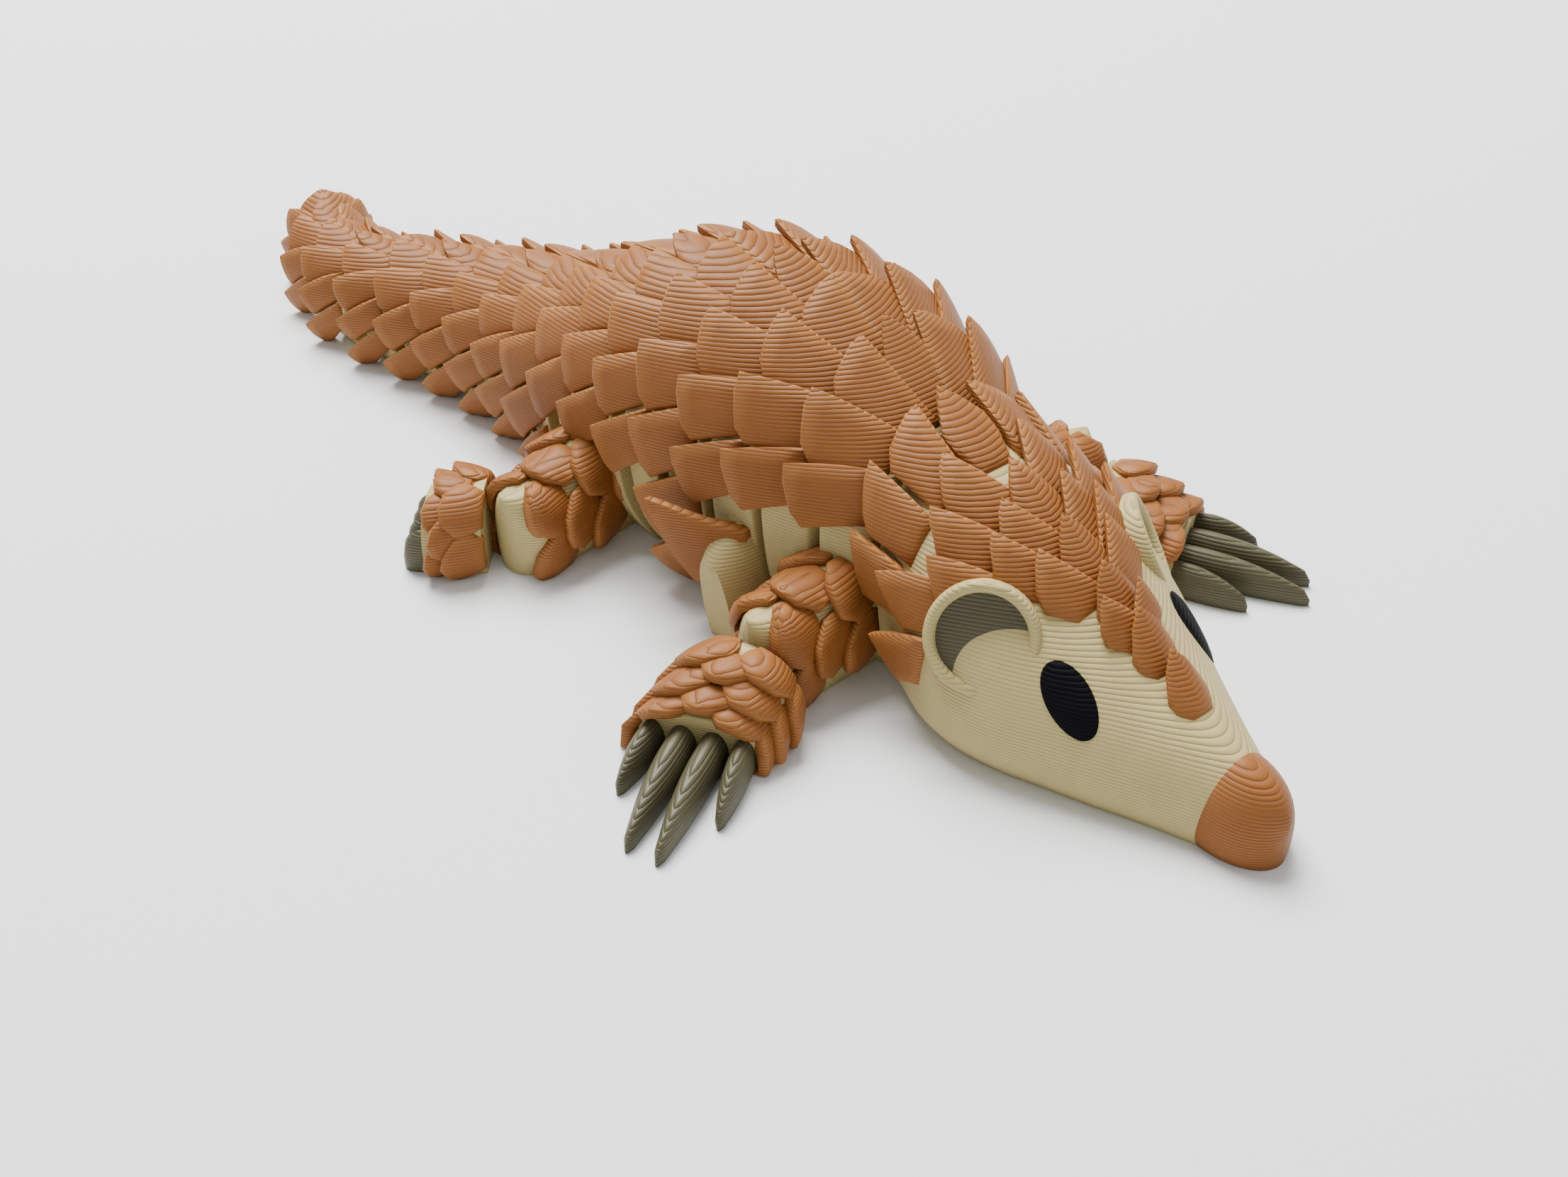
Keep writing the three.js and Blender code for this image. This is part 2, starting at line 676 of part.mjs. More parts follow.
// Drum or lens square to a direction, reaching from one depth to another
function facingDrum(centre, facing, radius, from, to, sides) {
  const geometry = new THREE.CylinderGeometry(radius, radius, to - from, sides);
  const way = new THREE.Vector3(...facing).normalize();
  const turn = new THREE.Quaternion().setFromUnitVectors(new THREE.Vector3(0, 1, 0), way);
  const middle = new THREE.Vector3(...centre).addScaledVector(way, (from + to) / 2);
  const matrix = new THREE.Matrix4().compose(middle, turn, new THREE.Vector3(1, 1, 1));
  return solidFromGeometry(geometry, matrix);
}

function facingLens(centre, facing, radius, depth, columns, rows) {
  const way = facing.clone().normalize();
  const turn = new THREE.Quaternion().setFromUnitVectors(new THREE.Vector3(0, 1, 0), way);
  const size = new THREE.Vector3(radius, depth, radius);
  const matrix = new THREE.Matrix4().compose(centre, turn, size);
  return solidFromGeometry(new THREE.SphereGeometry(1, columns, rows), matrix);
}

function eyeSolid(shell, side, grow) {
  const distance = shell.stations[0].x - EYE.x;
  const arc = arcAtHeight(shell, distance, EYE.up);
  const skin = shell.point(distance, side, arc, 0);
  const out = shell.point(distance, side, arc, 1).sub(skin);
  const centre = skin.addScaledVector(out, -EYE.sunk);
  return facingLens(centre, out, EYE.radius + grow, EYE.depth + grow, 12, 6);
}

function earPlace(side) {
  const [fx, fy, fz] = EAR.facing;
  return { centre: [EAR.x, side * EAR.side, EAR.up], facing: [fx, side * fy, fz] };
}

// Dish of the ear with a well for its dark lining
function earDish(side) {
  const { centre, facing } = earPlace(side);
  const dish = facingDrum(centre, facing, EAR.rim, -EAR_DEPTH.back, EAR_DEPTH.lip, 16);
  const well = facingDrum(centre, facing, EAR.well, -EAR_DEPTH.floor, EAR_DEPTH.lip + 1, 14);
  return dish.subtract(well);
}

// Dark crescent between the rim and the cheek; grow makes the room it lies in
function earLining(side, grow) {
  const { centre, facing } = earPlace(side);
  const bottom = NODE_GAP - EAR_DEPTH.floor - grow;
  const top = NODE_GAP - EAR_DEPTH.floor + EAR_DEPTH.lining + grow;
  const disc = facingDrum(centre, facing, EAR.well - NODE_GAP + grow, bottom, top, 14);
  return disc.subtract(headShell(NODE_GAP - grow).solid());
}

function noseSolid(grow) {
  const radius = NOSE.radius + grow;
  return ballSolid([NOSE.x, 0, NOSE.z], [radius, radius, radius], 14, 9);
}

function headSolid() {
  const shell = headShell();
  const pieces = [shell.solid(), earDish(1), earDish(-1)];
  for (const [tip, arc, length, width] of CROWN_SCALES) {
    const front = shell.stations[0].x - tip - length;
    const sides = arc === 0 ? [0] : [-1, 1];
    for (const side of sides) {
      const size = { arc, length, width, rise: CROWN_RISE, skew: CROWN_SKEW };
      pieces.push(scaleSolid(shell, { front, side, ...size }));
    }
  }
  const nape = shell.stations[0].x - NAPE_TIER.from;
  const length = NAPE_TIER.from + NAPE_TIER.past;
  const keep = (share) => share < NAPE_TIER.share;
  const top = { topLength: length + NAPE_RISE.topExtra, topRise: NAPE_RISE.top };
  const tier = { count: NAPE_TIER.count, front: nape, length, rise: NAPE_RISE.side, keep };
  pieces.push(...scaleTier(shell, { ...tier, ...top }));
  const pin = pinPlace(SEAM_SIZES[0][1]);
  return joined(pieces)
    .subtract(noseSolid(NODE_GAP))
    .subtract(eyeSolid(shell, 1, NODE_GAP / 2))
    .subtract(eyeSolid(shell, -1, NODE_GAP / 2))
    .subtract(earLining(1, NODE_GAP))
    .subtract(earLining(-1, NODE_GAP))
    .subtract(pocketSolid(pin.ahead, pin.middle, mouthWidth(SEAM_SIZES[0][0])));
}

// Tail tip, from its pin back to its last scale

function tailTipSolid() {
  const last = SEAM_SIZES.length - 1;
  const rows = [{ x: -SEAM_GAP / 2, wedge: Math.tan(rad(RINGS[last - 1][4])), ...seamSize(last) }];
  for (const [back, halfWidth, height] of TAIL_TIP) rows.push({ x: -back, halfWidth, height });
  const shell = makeShell(rows.map((row) => ({ lean: SEAM_LEAN, ...row })));
  const pieces = [shell.solid()];
  for (const [count, front, length, rise] of TAIL_TIP_TIERS) {
    const topLength = length + TAIL_TOP_EXTRA.length;
    const topRise = rise + TAIL_TOP_EXTRA.rise;
    pieces.push(...scaleTier(shell, { count, front, length, rise, topLength, topRise }));
  }
  const pin = pinPlace(SEAM_SIZES[last][1]);
  return joined(pieces).add(pinSolid(pin.ahead, pin.middle, PIN_ROOT));
}

// Limbs. Each is made along -X from its pin; hand is -1 on the right side and 1 on the left.

// Upright wedge of a disc about a point, between two directions in degrees
function fanSolid(x, radius, from, to, floor, top) {
  const steps = 6;
  const vertices = [];
  for (const z of [floor, top]) {
    vertices.push(new THREE.Vector3(x, 0, z));
    for (let i = 0; i <= steps; i += 1) {
      const angle = rad(lerp(from, to, i / steps));
      vertices.push(new THREE.Vector3(x + radius * Math.cos(angle), radius * Math.sin(angle), z));
    }
  }
  const count = steps + 2;
  const faces = [];
  for (let j = 1; j + 1 < count; j += 1) {
    faces.push([0, j + 1, j], [count, count + j, count + j + 1]);
  }
  for (let j = 0; j < count; j += 1) {
    const k = (j + 1) % count;
    faces.push([j, k, count + j], [k, count + k, count + j]);
  }
  return solidFromFaces(vertices, faces);
}

// Direction of a limb in its stub's frame, where straight out is 180 degrees
function limbDirection(hand, swing) {
  return 180 - hand * swing;
}

// Stub on a ring's side with a round end about the limb's pin, open where the limb turns
function stubSolid(limb) {
  const { ahead, out, rows, scales } = STUBS[limb.stub];
  const [, round, height] = rows[rows.length - 1];
  const stations = rows.map(([at, halfWidth, up]) => ({ x: out - at, halfWidth, height: up }));
  for (const share of STUB_ROUND) {
    const halfWidth = round * Math.sqrt(1 - share * share);
    stations.push({ x: -share * round, halfWidth, height });
  }
  const shell = makeShell(stations);
  const pieces = [shell.solid(5)];
  for (const [front, arc, length, width] of scales) {
    pieces.push(scaleSolid(shell, { front, side: 0, arc, length, width, rise: STUB_SCALE_RISE }));
  }
  const floor = LIMB_PIN_HEIGHT - PIN_HEIGHT / 2 - PIN_CLEARANCE;
  const top = LIMB_PIN_HEIGHT + PIN_HEIGHT / 2 + PIN_CLEARANCE;
  const back = limbDirection(limb.hand, limb.swing - limb.back - LIMB_RANGE_SPARE);
  const forth = limbDirection(limb.hand, limb.swing + limb.forth + LIMB_RANGE_SPARE);
  const from = Math.min(back, forth);
  const to = Math.max(back, forth);
  const room = drumSolid(0, 0, PIN_RADIUS + PIN_CLEARANCE, floor, top, PIN_SIDES);
  const carved = joined(pieces)
    .subtract(room)
    .subtract(fanSolid(0, round + 2, from, to, floor, top));
  return movedSolid(carved, -90 * limb.hand, ahead, limb.hand * out);
}

// Shell of a limb from its pin to its claws, in the limb's own frame
function limbShell(limb) {
  return makeShell(LIMB_FORMS[limb.stub].rows.map(([share, halfWidth, height]) => ({
    x: -share * limb.reach,
    turn: -limb.hand * limb.bend * share,
    halfWidth,
    height,
  })));
}

// One claw as a shell of shrinking sections; grow makes the room it is set in
function clawSolid(limb, [, across, tipAcross, length, halfWidth], grow) {
  const turn = -limb.hand * limb.bend;
  const rows = [];
  const way = rad(turn);
  for (const [share, wide, high] of [[-CLAW_ROOT / length, 1, CLAW_ROOT_HEIGHT], ...CLAW_SHAPE]) {
    const side = limb.hand * lerp(across, tipAcross, Math.max(share, 0));
    const ahead = share * length + Math.sign(share) * grow;
    rows.push({
      x: -limb.reach - ahead * Math.cos(way) - side * Math.sin(way),
      y: -ahead * Math.sin(way) + side * Math.cos(way),
      turn,
      halfWidth: halfWidth * wide + grow,
      height: CLAW_HEIGHT * high + grow,
      power: 2,
    });
  }
  return makeShell(rows).solid(4);
}

// Row of short toes as one body
function toesSolid(limb, grow) {
  const toes = [];
  for (let i = 0; i < TOE.count; i += 1) {
    const y = (i - (TOE.count - 1) / 2) * TOE.spacing;
    const rows = [[-TOE.root / TOE.length, 1, 1], ...TOE_SHAPE].map(([share, wide, high]) => ({
      x: -limb.reach - share * TOE.length - Math.sign(share) * grow,
      y,
      halfWidth: TOE.halfWidth * wide + grow,
      height: TOE.height * high + grow,
      power: 2,
    }));
    toes.push(makeShell(rows).solid(4));
  }
  return joined(toes);
}

function limbSolid(limb) {
  const shell = limbShell(limb);
  const { scales } = LIMB_FORMS[limb.stub];
  const pieces = [shell.solid(5)];
  for (const [front, arc, length, width, rise] of scales) {
    const from = front - LIMB_FORMS[limb.stub].rows[0][0] * limb.reach;
    for (const side of arc === 0 ? [0] : [-1, 1]) {
      pieces.push(scaleSolid(shell, { front: from, side, arc, length, width, rise }));
    }
  }
  const rows = STUBS[limb.stub].rows;
  const round = rows[rows.length - 1][1];
  const claws = limb.stub === 'front'
    ? FRONT_CLAWS.map((claw) => clawSolid(limb, claw, NODE_GAP))
    : [toesSolid(limb, NODE_GAP)];
  let body = claws.reduce((rest, claw) => rest.subtract(claw), joined(pieces));
  const { length, spare, top, steps, sides } = SWING_ROOM;
  for (let i = 0; i <= steps; i += 1) {
    const turn = rad(limb.hand * (limb.swing + lerp(-limb.back, limb.forth, i / steps)));
    const inwards = [length * Math.cos(turn), length * Math.sin(turn)];
    body = body.subtract(barSolid([0, 0], inwards, 2 * (round + NODE_GAP + spare), -1, top));
  }
  return body
    .subtract(drumSolid(0, 0, round + NODE_GAP + SWING_ROOM.round, -1, top, sides))
    .add(pinSolid(0, LIMB_PIN_HEIGHT, round + LIMB_PIN_ROOT));
}

// Ring with shoulder bulges, stubs or low scales left out where the limbs are

function shoulderSolid(index, hand) {
  const rows = SHOULDER.map(([out, halfWidth, height]) => ({ x: -out, halfWidth, height }));
  const bulge = movedSolid(makeShell(rows).solid(5), -90 * hand, 0, 0);
  const slab = makeShell(ringShell(index).stations.map((station) => ({
    ...station,
    halfWidth: station.halfWidth + 6,
  })));
  return bulge.intersect(slab.solid());
}

function shoulderScale(index, hand) {
  const shell = ringShell(index);
  const { front, low, length, width, rise } = SHOULDER_SCALE;
  const arc = arcAtHeight(shell, front, low);
  return scaleSolid(shell, { front, side: hand, arc, length, width, rise });
}

// Room the neighbour in front needs, above a floor height and grown by a clearance
function roomInFront(index, floor, grow) {
  const { height } = seamSize(index);
  const halfWidth = Math.max(seamSize(index).halfWidth, seamSize(index - 1).halfWidth);
  const back = RINGS[index][2] / 2 - 0.1;
  const size = { halfWidth: halfWidth + grow, height: height + grow - floor };
  const row = { lean: SEAM_LEAN, floor, ...size };
  const lift = floor * Math.tan(rad(SEAM_LEAN));
  return makeShell([{ x: back + FRONT_ROOM_DEPTH, ...row }, { x: back - lift, ...row }]).solid();
}

// Ring with its stubs or bulges, and without the low scales that would meet a limb
function ringBody(index) {
  const name = RINGS[index][0];
  const share = LOW_SCALES[name] ?? 1;
  let body = ringSolid(index, (arcShare) => arcShare < share);
  for (const hand of [-1, 1]) {
    if (name === 'torso_2') {
      body = body.add(shoulderSolid(index, hand)).add(shoulderScale(index, hand));
    }
    for (const limb of LIMBS) {
      if (STUBS[limb.stub].ring !== name || limb.hand !== hand) continue;
      let stub = stubSolid(limb);
      for (const [floor, grow] of FRONT_ROOM) stub = stub.subtract(roomInFront(index, floor, grow));
      body = body.add(stub);
    }
  }
  return body;
}

// Assembly

function bodyGroup(name, x, y, heading) {
  const group = new THREE.Group();
  group.name = `${name}_body`;
  group.position.set(x, y, 0);
  group.rotation.z = rad(heading);
  return group;
}

function buildHead() {
  const group = bodyGroup('head', NECK_SEAM[0], NECK_SEAM[1], HEAD_HEADING);
  const shell = headShell();
  group.add(meshOf('head', trimmed(headSolid()), 'cream'));
  group.add(meshOf('nose', trimmed(noseSolid(0)), 'caramel'));
  for (const [side, label] of SIDES) {
    group.add(meshOf(`eye_${label}`, eyeSolid(shell, side, 0), 'black', 0.3));
    group.add(meshOf(`ear_${label}`, trimmed(earLining(side, 0)), 'olive'));
  }
  return group;
}

function buildLimb(limb) {
  const { ahead, out } = STUBS[limb.stub];
  const turn = -limb.hand * (90 + limb.swing);
  const group = bodyGroup(limb.name, ahead, limb.hand * out, turn);
  group.add(meshOf(limb.name, trimmed(limbSolid(limb)), 'caramel'));
  if (limb.stub === 'front') {
    for (const claw of FRONT_CLAWS) {
      group.add(meshOf(`${limb.name}_${claw[0]}`, trimmed(clawSolid(limb, claw, 0)), 'olive'));
    }
  } else {
    group.add(meshOf(`${limb.name}_toes`, trimmed(toesSolid(limb, 0)), 'olive'));
  }
  return group;
}

function buildPangolin() {
  const pangolin = new THREE.Group();
  pangolin.name = 'articulated_pangolin_toy';
  pangolin.add(buildHead());
  let [x, y] = NECK_SEAM;
  RINGS.forEach(([name, heading, pitch], index) => {
    const stepX = pitch * Math.cos(rad(heading));
    const stepY = pitch * Math.sin(rad(heading));
    const group = bodyGroup(name, x - stepX / 2, y - stepY / 2, heading);
    group.add(meshOf(name, trimmed(ringBody(index)), 'caramel'));
    for (const limb of LIMBS) {
      if (STUBS[limb.stub].ring === name) group.add(buildLimb(limb));
    }
    pangolin.add(group);
    x -= stepX;
    y -= stepY;
  });
  const tip = bodyGroup('tail_tip', x, y, TAIL_TIP_HEADING);
  tip.add(meshOf('tail_tip', trimmed(tailTipSolid()), 'caramel'));
  pangolin.add(tip);
  const box = new THREE.Box3().setFromObject(pangolin, true);
  const centre = box.getCenter(new THREE.Vector3());
  pangolin.position.set(-centre.x, -centre.y, -box.min.z);
  return pangolin;
}

export default buildPangolin();
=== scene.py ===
"""Articulated pangolin toy in printed plastic: skins, scales, claws and a plain studio.

Lengths in the tables are millimetres in each piece's own frame: x forward, y to the
toy's left, z up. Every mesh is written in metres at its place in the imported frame.
"""

import json
import math
from functools import partial

import bpy
import numpy as np
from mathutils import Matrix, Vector


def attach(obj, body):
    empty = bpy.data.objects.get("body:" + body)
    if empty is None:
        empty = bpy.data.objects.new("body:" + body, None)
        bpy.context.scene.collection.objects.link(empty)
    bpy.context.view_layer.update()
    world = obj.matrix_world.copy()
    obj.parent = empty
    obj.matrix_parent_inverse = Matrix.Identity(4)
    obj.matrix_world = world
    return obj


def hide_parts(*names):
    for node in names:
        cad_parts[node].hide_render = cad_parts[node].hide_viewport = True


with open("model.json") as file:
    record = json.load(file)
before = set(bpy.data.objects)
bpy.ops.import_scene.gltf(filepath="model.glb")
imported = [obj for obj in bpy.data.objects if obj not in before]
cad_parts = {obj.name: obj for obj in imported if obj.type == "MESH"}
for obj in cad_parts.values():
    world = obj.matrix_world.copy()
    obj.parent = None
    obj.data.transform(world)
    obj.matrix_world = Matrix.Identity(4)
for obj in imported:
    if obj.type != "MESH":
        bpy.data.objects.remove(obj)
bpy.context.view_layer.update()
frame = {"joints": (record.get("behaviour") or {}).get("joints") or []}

bl_info = {
    "name": "Articulated Pangolin Toy",
    "version": (1, 0, 0),
    "blender": (4, 5, 0),
    "location": "View3D > Sidebar > Pangolin",
    "description": "Builds a printed pangolin toy around its packed model",
    "category": "Add Mesh",
}

MM = 0.001

# The chain of rings: pitch, gap between rings, and lean of their faces in degrees
PITCH = 4.2
SEAM_GAP = 0.5
SEAM_LEAN = 12.0
HEAD_HEADING = -52.0
NECK_SEAM = (11.8, 79.15)
TAIL_TIP_HEADING = -87.0
# name, heading, length along the body, scales in its tier, wedge of its faces
RINGS = [
    ("neck", -50.5, PITCH, 11, 2.0),
    ("torso_1", -48.5, PITCH, 12, 2.0),
    ("torso_2", -45.0, PITCH, 13, 2.0),
    ("torso_3", -41.5, PITCH, 12, 2.0),
    ("torso_4", -39.5, PITCH, 13, 2.0),
    ("torso_5", -39.5, PITCH, 12, 2.0),
    ("torso_6", -42.0, PITCH, 11, 2.0),
    ("tail_1", -43.0, PITCH, 10, 2.2),
    ("tail_2", -41.5, PITCH, 11, 2.4),
    ("tail_3", -38.0, PITCH, 10, 2.8),
    ("tail_4", -33.0, PITCH, 9, 3.2),
    ("tail_5", -29.0, PITCH, 8, 3.6),
    ("tail_6", -28.0, PITCH, 9, 5.0),
    ("tail_7", -39.0, 4.1, 8, 7.0),
    ("tail_8", -55.0, 4.0, 7, 10.0),
    ("tail_9", -71.0, 3.9, 8, 10.0),
]
# half width and height of the bare body at each seam, from the neck seam backwards
SEAM_SIZES = [
    (7.4, 13.5), (8.5, 15.5), (9.5, 16.8), (10.0, 17.3), (10.0, 17.1), (9.6, 16.1),
    (8.8, 14.4), (7.8, 12.5), (6.9, 10.8), (6.1, 9.5), (5.4, 8.5), (4.8, 7.8),
    (4.3, 7.2), (3.8, 6.6), (3.4, 6.1), (2.9, 5.5), (2.4, 4.9),
]
# share of the way down a ring's side below which it has no scales
LOW_SCALES = {
    "neck": 0.72, "torso_1": 0.68, "torso_2": 0.72,
    "torso_4": 0.72, "torso_5": 0.68, "torso_6": 0.6,
}
# Tail tip: distance back, half width and height; and its tiers: count, front, length, rise
TAIL_TIP = [(2.0, 2.0, 4.3), (3.8, 1.5, 3.6), (5.2, 0.8, 2.6)]
TAIL_TIP_TIERS = [(6, 0.6, 2.9, 1.4), (5, 2.7, 2.6, 1.3)]
TAIL_TOP_EXTRA = (0.4, 0.1)
# How far a ring's scales pass its rear face and rise, on the smallest and widest bodies
SMALL_BODY, WIDE_HALF_WIDTH = 0.55, 9.0
SCALE_PAST = {"side": (0.4, 1.05), "top": (0.8, 1.6)}
SCALE_RISE = {"side": (1.85, 1.95), "top": (1.95, 2.3)}
# Front of a side scale above its rear: least, most, base, and rate of the outline's growth;
# and the share of the way down at which it is reached
SCALE_SKEW = (0.8, 4.6, 2.4, 0.75)
SKEW_SHARE = 0.5
SCALE_SETBACK = 0.3
# Joint pins: lowest place, share of the body's height, depth; and a pin's neck
PIN_LOWEST, PIN_SHARE, PIN_DEPTH = 2.6, 0.33, 1.25
PIN_HALF_HEIGHT, NECK_HALF_WIDTH, NECK_LENGTH, NECK_SHORT = 1.1, 0.4, 1.2, 0.12
CORE_STEPS, CORE_RIM = 24, 0.22

# Head, forward from the neck seam: place, half width, height, lean, arch power
HEAD_SECTIONS = [
    (20.2, 2.75, 5.3, 0, 2.0), (17.4, 4.1, 6.3, 0, 2.0), (14.8, 5.5, 7.3, 0, 1.9),
    (12.2, 6.8, 8.5, 0, 1.9), (9.6, 8.1, 9.8, 0, 1.9), (7.0, 8.9, 11.0, 2, 2.0),
    (4.6, 8.9, 12.1, 5, 2.1), (2.4, 8.2, 13.0, 9, 2.3), (0.25, 7.4, 13.5, 12, 2.5),
]
HEAD_WIDEST = 0.24
HEAD_BASE = 0.86
# Nose: length, share by which it drops, steps, share left at the tip, and its root
NOSE_LENGTH, NOSE_DROP, NOSE_STEPS, NOSE_TIP = 3.75, 0.5, 14, 0.03
NOSE_BACK, NOSE_IN = 0.25, 0.05
# Eyes: place, radii along and round the head, dome, rim, depth in the skin
EYE_AT, EYE_UP, EYE_RADII = 12.2, 6.3, (1.92, 1.4)
EYE_DOME, EYE_RIM, EYE_SUNK, EYE_RINGS = 0.22, 0.04, 0.5, 6
# Ears: place, direction faced, distance out, sizes of the dish
EAR_PLACE = (6.9, 6.6, 8.0)
EAR_FACING = (0.55, 0.7, 0.45)
EAR_OUT = 0.05
EAR_RIM, EAR_WELL, EAR_BACK, EAR_FLOOR, EAR_LIP = 3.3, 2.6, 2.6, 0.35, 0.45
# Radius and height along the dish: back, lip, well, floor
EAR_DISH = [
    (0.05, -EAR_BACK), (EAR_RIM - 0.6, -EAR_BACK), (EAR_RIM - 0.1, -EAR_BACK * 0.6),
    (EAR_RIM, -0.2), (EAR_RIM - 0.03, 0.2), (EAR_RIM - 0.15, 0.4), (EAR_RIM - 0.35, EAR_LIP),
    (EAR_WELL + 0.1, 0.32), (EAR_WELL, 0.1), (EAR_WELL - 0.05, -EAR_FLOOR), (0.05, -EAR_FLOOR),
]
EAR_LINING = [
    (0.05, -EAR_FLOOR - 0.3), (EAR_WELL, -EAR_FLOOR - 0.3),
    (EAR_WELL, -EAR_FLOOR + 0.3), (0.05, -EAR_FLOOR + 0.35),
]

# Crown scales: tip ahead of the neck seam, arc from the middle line, length, width
CROWN_SCALES = [
    (14.4, 0, 3.0, 2.6), (11.8, 0, 2.9, 2.9), (10.35, 2.5, 2.8, 2.5), (9.0, 0, 2.9, 3.1),
    (6.9, 3.95, 3.2, 3.1), (6.3, 0, 3.2, 3.3), (5.1, 5.15, 3.1, 3.0), (4.3, 3.7, 3.2, 3.2),
    (3.6, 8.3, 3.2, 3.3), (3.2, 0, 3.4, 3.5), (2.6, 6.6, 3.2, 3.3), (1.4, 4.4, 3.4, 3.5),
    (1.4, 10.9, 3.6, 3.5), (1.4, 14.3, 3.5, 3.4),
]
CROWN_RISE = 1.7
CROWN_SKEW = 2.8
# Share of the way down at which a tier's scales reach their side size
TOP_SHARE = 0.6
# Nape tier: count, front ahead of the seam, length past it and more on top; share; rises
NAPE_COUNT, NAPE_FROM, NAPE_PAST, NAPE_TOP_EXTRA = 11, 2.6, 0.7, 0.3
NAPE_SHARE = 0.6
NAPE_RISES = (1.9, 2.1)

# Bare shoulder bulges on ring torso_2: out from the middle line, half width, height
SHOULDER = [(6.5, 1.8, 8.2), (10.4, 1.75, 7.2), (12.2, 1.2, 5.6)]
# The scale on one: distance back, height of its middle; length, width and rise
SHOULDER_BACK, SHOULDER_UP, SHOULDER_SCALE = 0.6, 5.0, (4.8, 5.0, 3.6)

# Elbow and thigh stubs: ring, pin ahead of its middle and out, rows of place out, half
# width and height, and plates: front, arcs, width, length
STUBS = {
    "front": {
        "ring": "torso_1",
        "ahead": 1.8,
        "out": 12.0,
        "rows": [(6.0, 2.8, 7.6), (9.6, 2.75, 7.0), (12.0, 2.7, 6.4)],
        "plates": [
            (0.6, (2.0, 5.6), 3.8, 3.6), (2.9, (0, 4.3), 3.8, 3.4), (5.0, (2.2, 6.0), 4.0, 3.4),
        ],
    },
    "hind": {
        "ring": "torso_6",
        "ahead": 1.2,
        "out": 13.5,
        "rows": [(5.0, 2.9, 8.0), (9.8, 2.85, 7.0), (13.5, 2.7, 5.8)],
        "plates": [
            (1.0, (0, 4.2), 3.8, 3.6), (3.2, (2.2, 6.0), 3.8, 3.6),
            (5.4, (0, 4.3), 3.8, 3.4), (7.5, (2.2, 5.8), 3.8, 3.3),
        ],
    },
}
# Shares of its radius at which a stub's round end has a section
STUB_END = (0.3, 0.55, 0.75, 0.9, 0.98)
# name, hand, stub, swing forwards from straight out, reach, turn of the claws
LIMBS = [
    ("front_leg_right", -1, "front", 11, 7.9, 20),
    ("front_leg_left", 1, "front", 72, 9.2, -5),
    ("hind_leg_right", -1, "hind", -51, 7.0, 0),
    ("hind_leg_left", 1, "hind", 22, 7.0, 0),
]
# share of the reach, half width, height
LIMB_ROWS = {
    "front": [(0.1, 3.1, 5.6), (0.55, 3.6, 4.9), (1.0, 3.7, 3.1)],
    "hind": [(0.1, 2.8, 5.4), (0.55, 3.0, 5.3), (1.0, 2.9, 4.4)],
}
# Rows of plates on a limb: share of the reach at their front, arcs, width, length, rise
LIMB_PLATES = {
    "front": [
        (0.37, (2.0, 5.3), 3.5, 2.7, 1.2), (0.50, (0,), 2.9, 2.4, 1.3),
        (0.60, (2.1, 5.2), 3.4, 2.6, 1.2), (0.74, (0,), 2.8, 2.3, 1.2),
        (0.80, (2.2, 5.0), 3.3, 2.2, 1.0),
    ],
    "hind": [
        (0.43, (2.0, 5.2), 3.3, 2.7, 1.2),
        (0.55, (0, 3.6), 2.9, 2.6, 1.2),
        (0.70, (1.9, 5.0), 3.0, 2.0, 1.0),
    ],
}
STUB_RISE = 1.1
LIMB_CLEARANCE = 0.4
# across at the root, across at the tip, length, half width
FRONT_CLAWS = [
    (-2.75, -3.3, 4.2, 0.75),
    (-0.95, -1.3, 8.0, 0.9),
    (0.95, 0.6, 8.4, 0.9),
    (2.75, 2.9, 5.0, 0.75),
]
CLAW_HEIGHT = 2.3
CLAW_ROOT = 1.6
# share of the length, of the half width and of the height
CLAW_SHAPE = [
    (0, 1, 1), (0.3, 1, 1), (0.6, 0.82, 0.85), (0.85, 0.5, 0.6), (0.97, 0.28, 0.4), (1, 0.1, 0.2),
]
TOE_COUNT, TOE_SPACING, TOE_HALF_WIDTH, TOE_HEIGHT = 4, 1.3, 0.72, 3.0
# distance ahead, share of the half width and of the height
TOE_SHAPE = [(-1.2, 1, 1), (0.3, 1, 1), (0.9, 0.92, 0.9), (1.3, 0.7, 0.7), (1.5, 0.35, 0.4)]
HORN_POWER = 2.0

# Camera of the photograph, above the origin of the chain's plan
CAMERA_HEIGHT = 70.0
CAMERA_PITCH = 50.0
FOCAL_PIXELS = 2400.0
PHOTO_WIDTH = 2212.0
SENSOR = 36.0

# Studio in metres; lights with their place, size and power
FLOOR_HALF = 1.5
FLOOR_COLOUR = (0.86, 0.87, 0.86, 1)
FLOOR_ROUGHNESS = 0.8
WORLD_COLOUR = (0.90, 0.94, 0.95, 1)
WORLD_STRENGTH = 0.55
LIGHTS = [
    ("Key", (-0.10, 0.28, 0.50), 0.35, 10.0),
    ("Fill", (0.35, -0.10, 0.50), 0.5, 0.5),
]


# Sections and skins


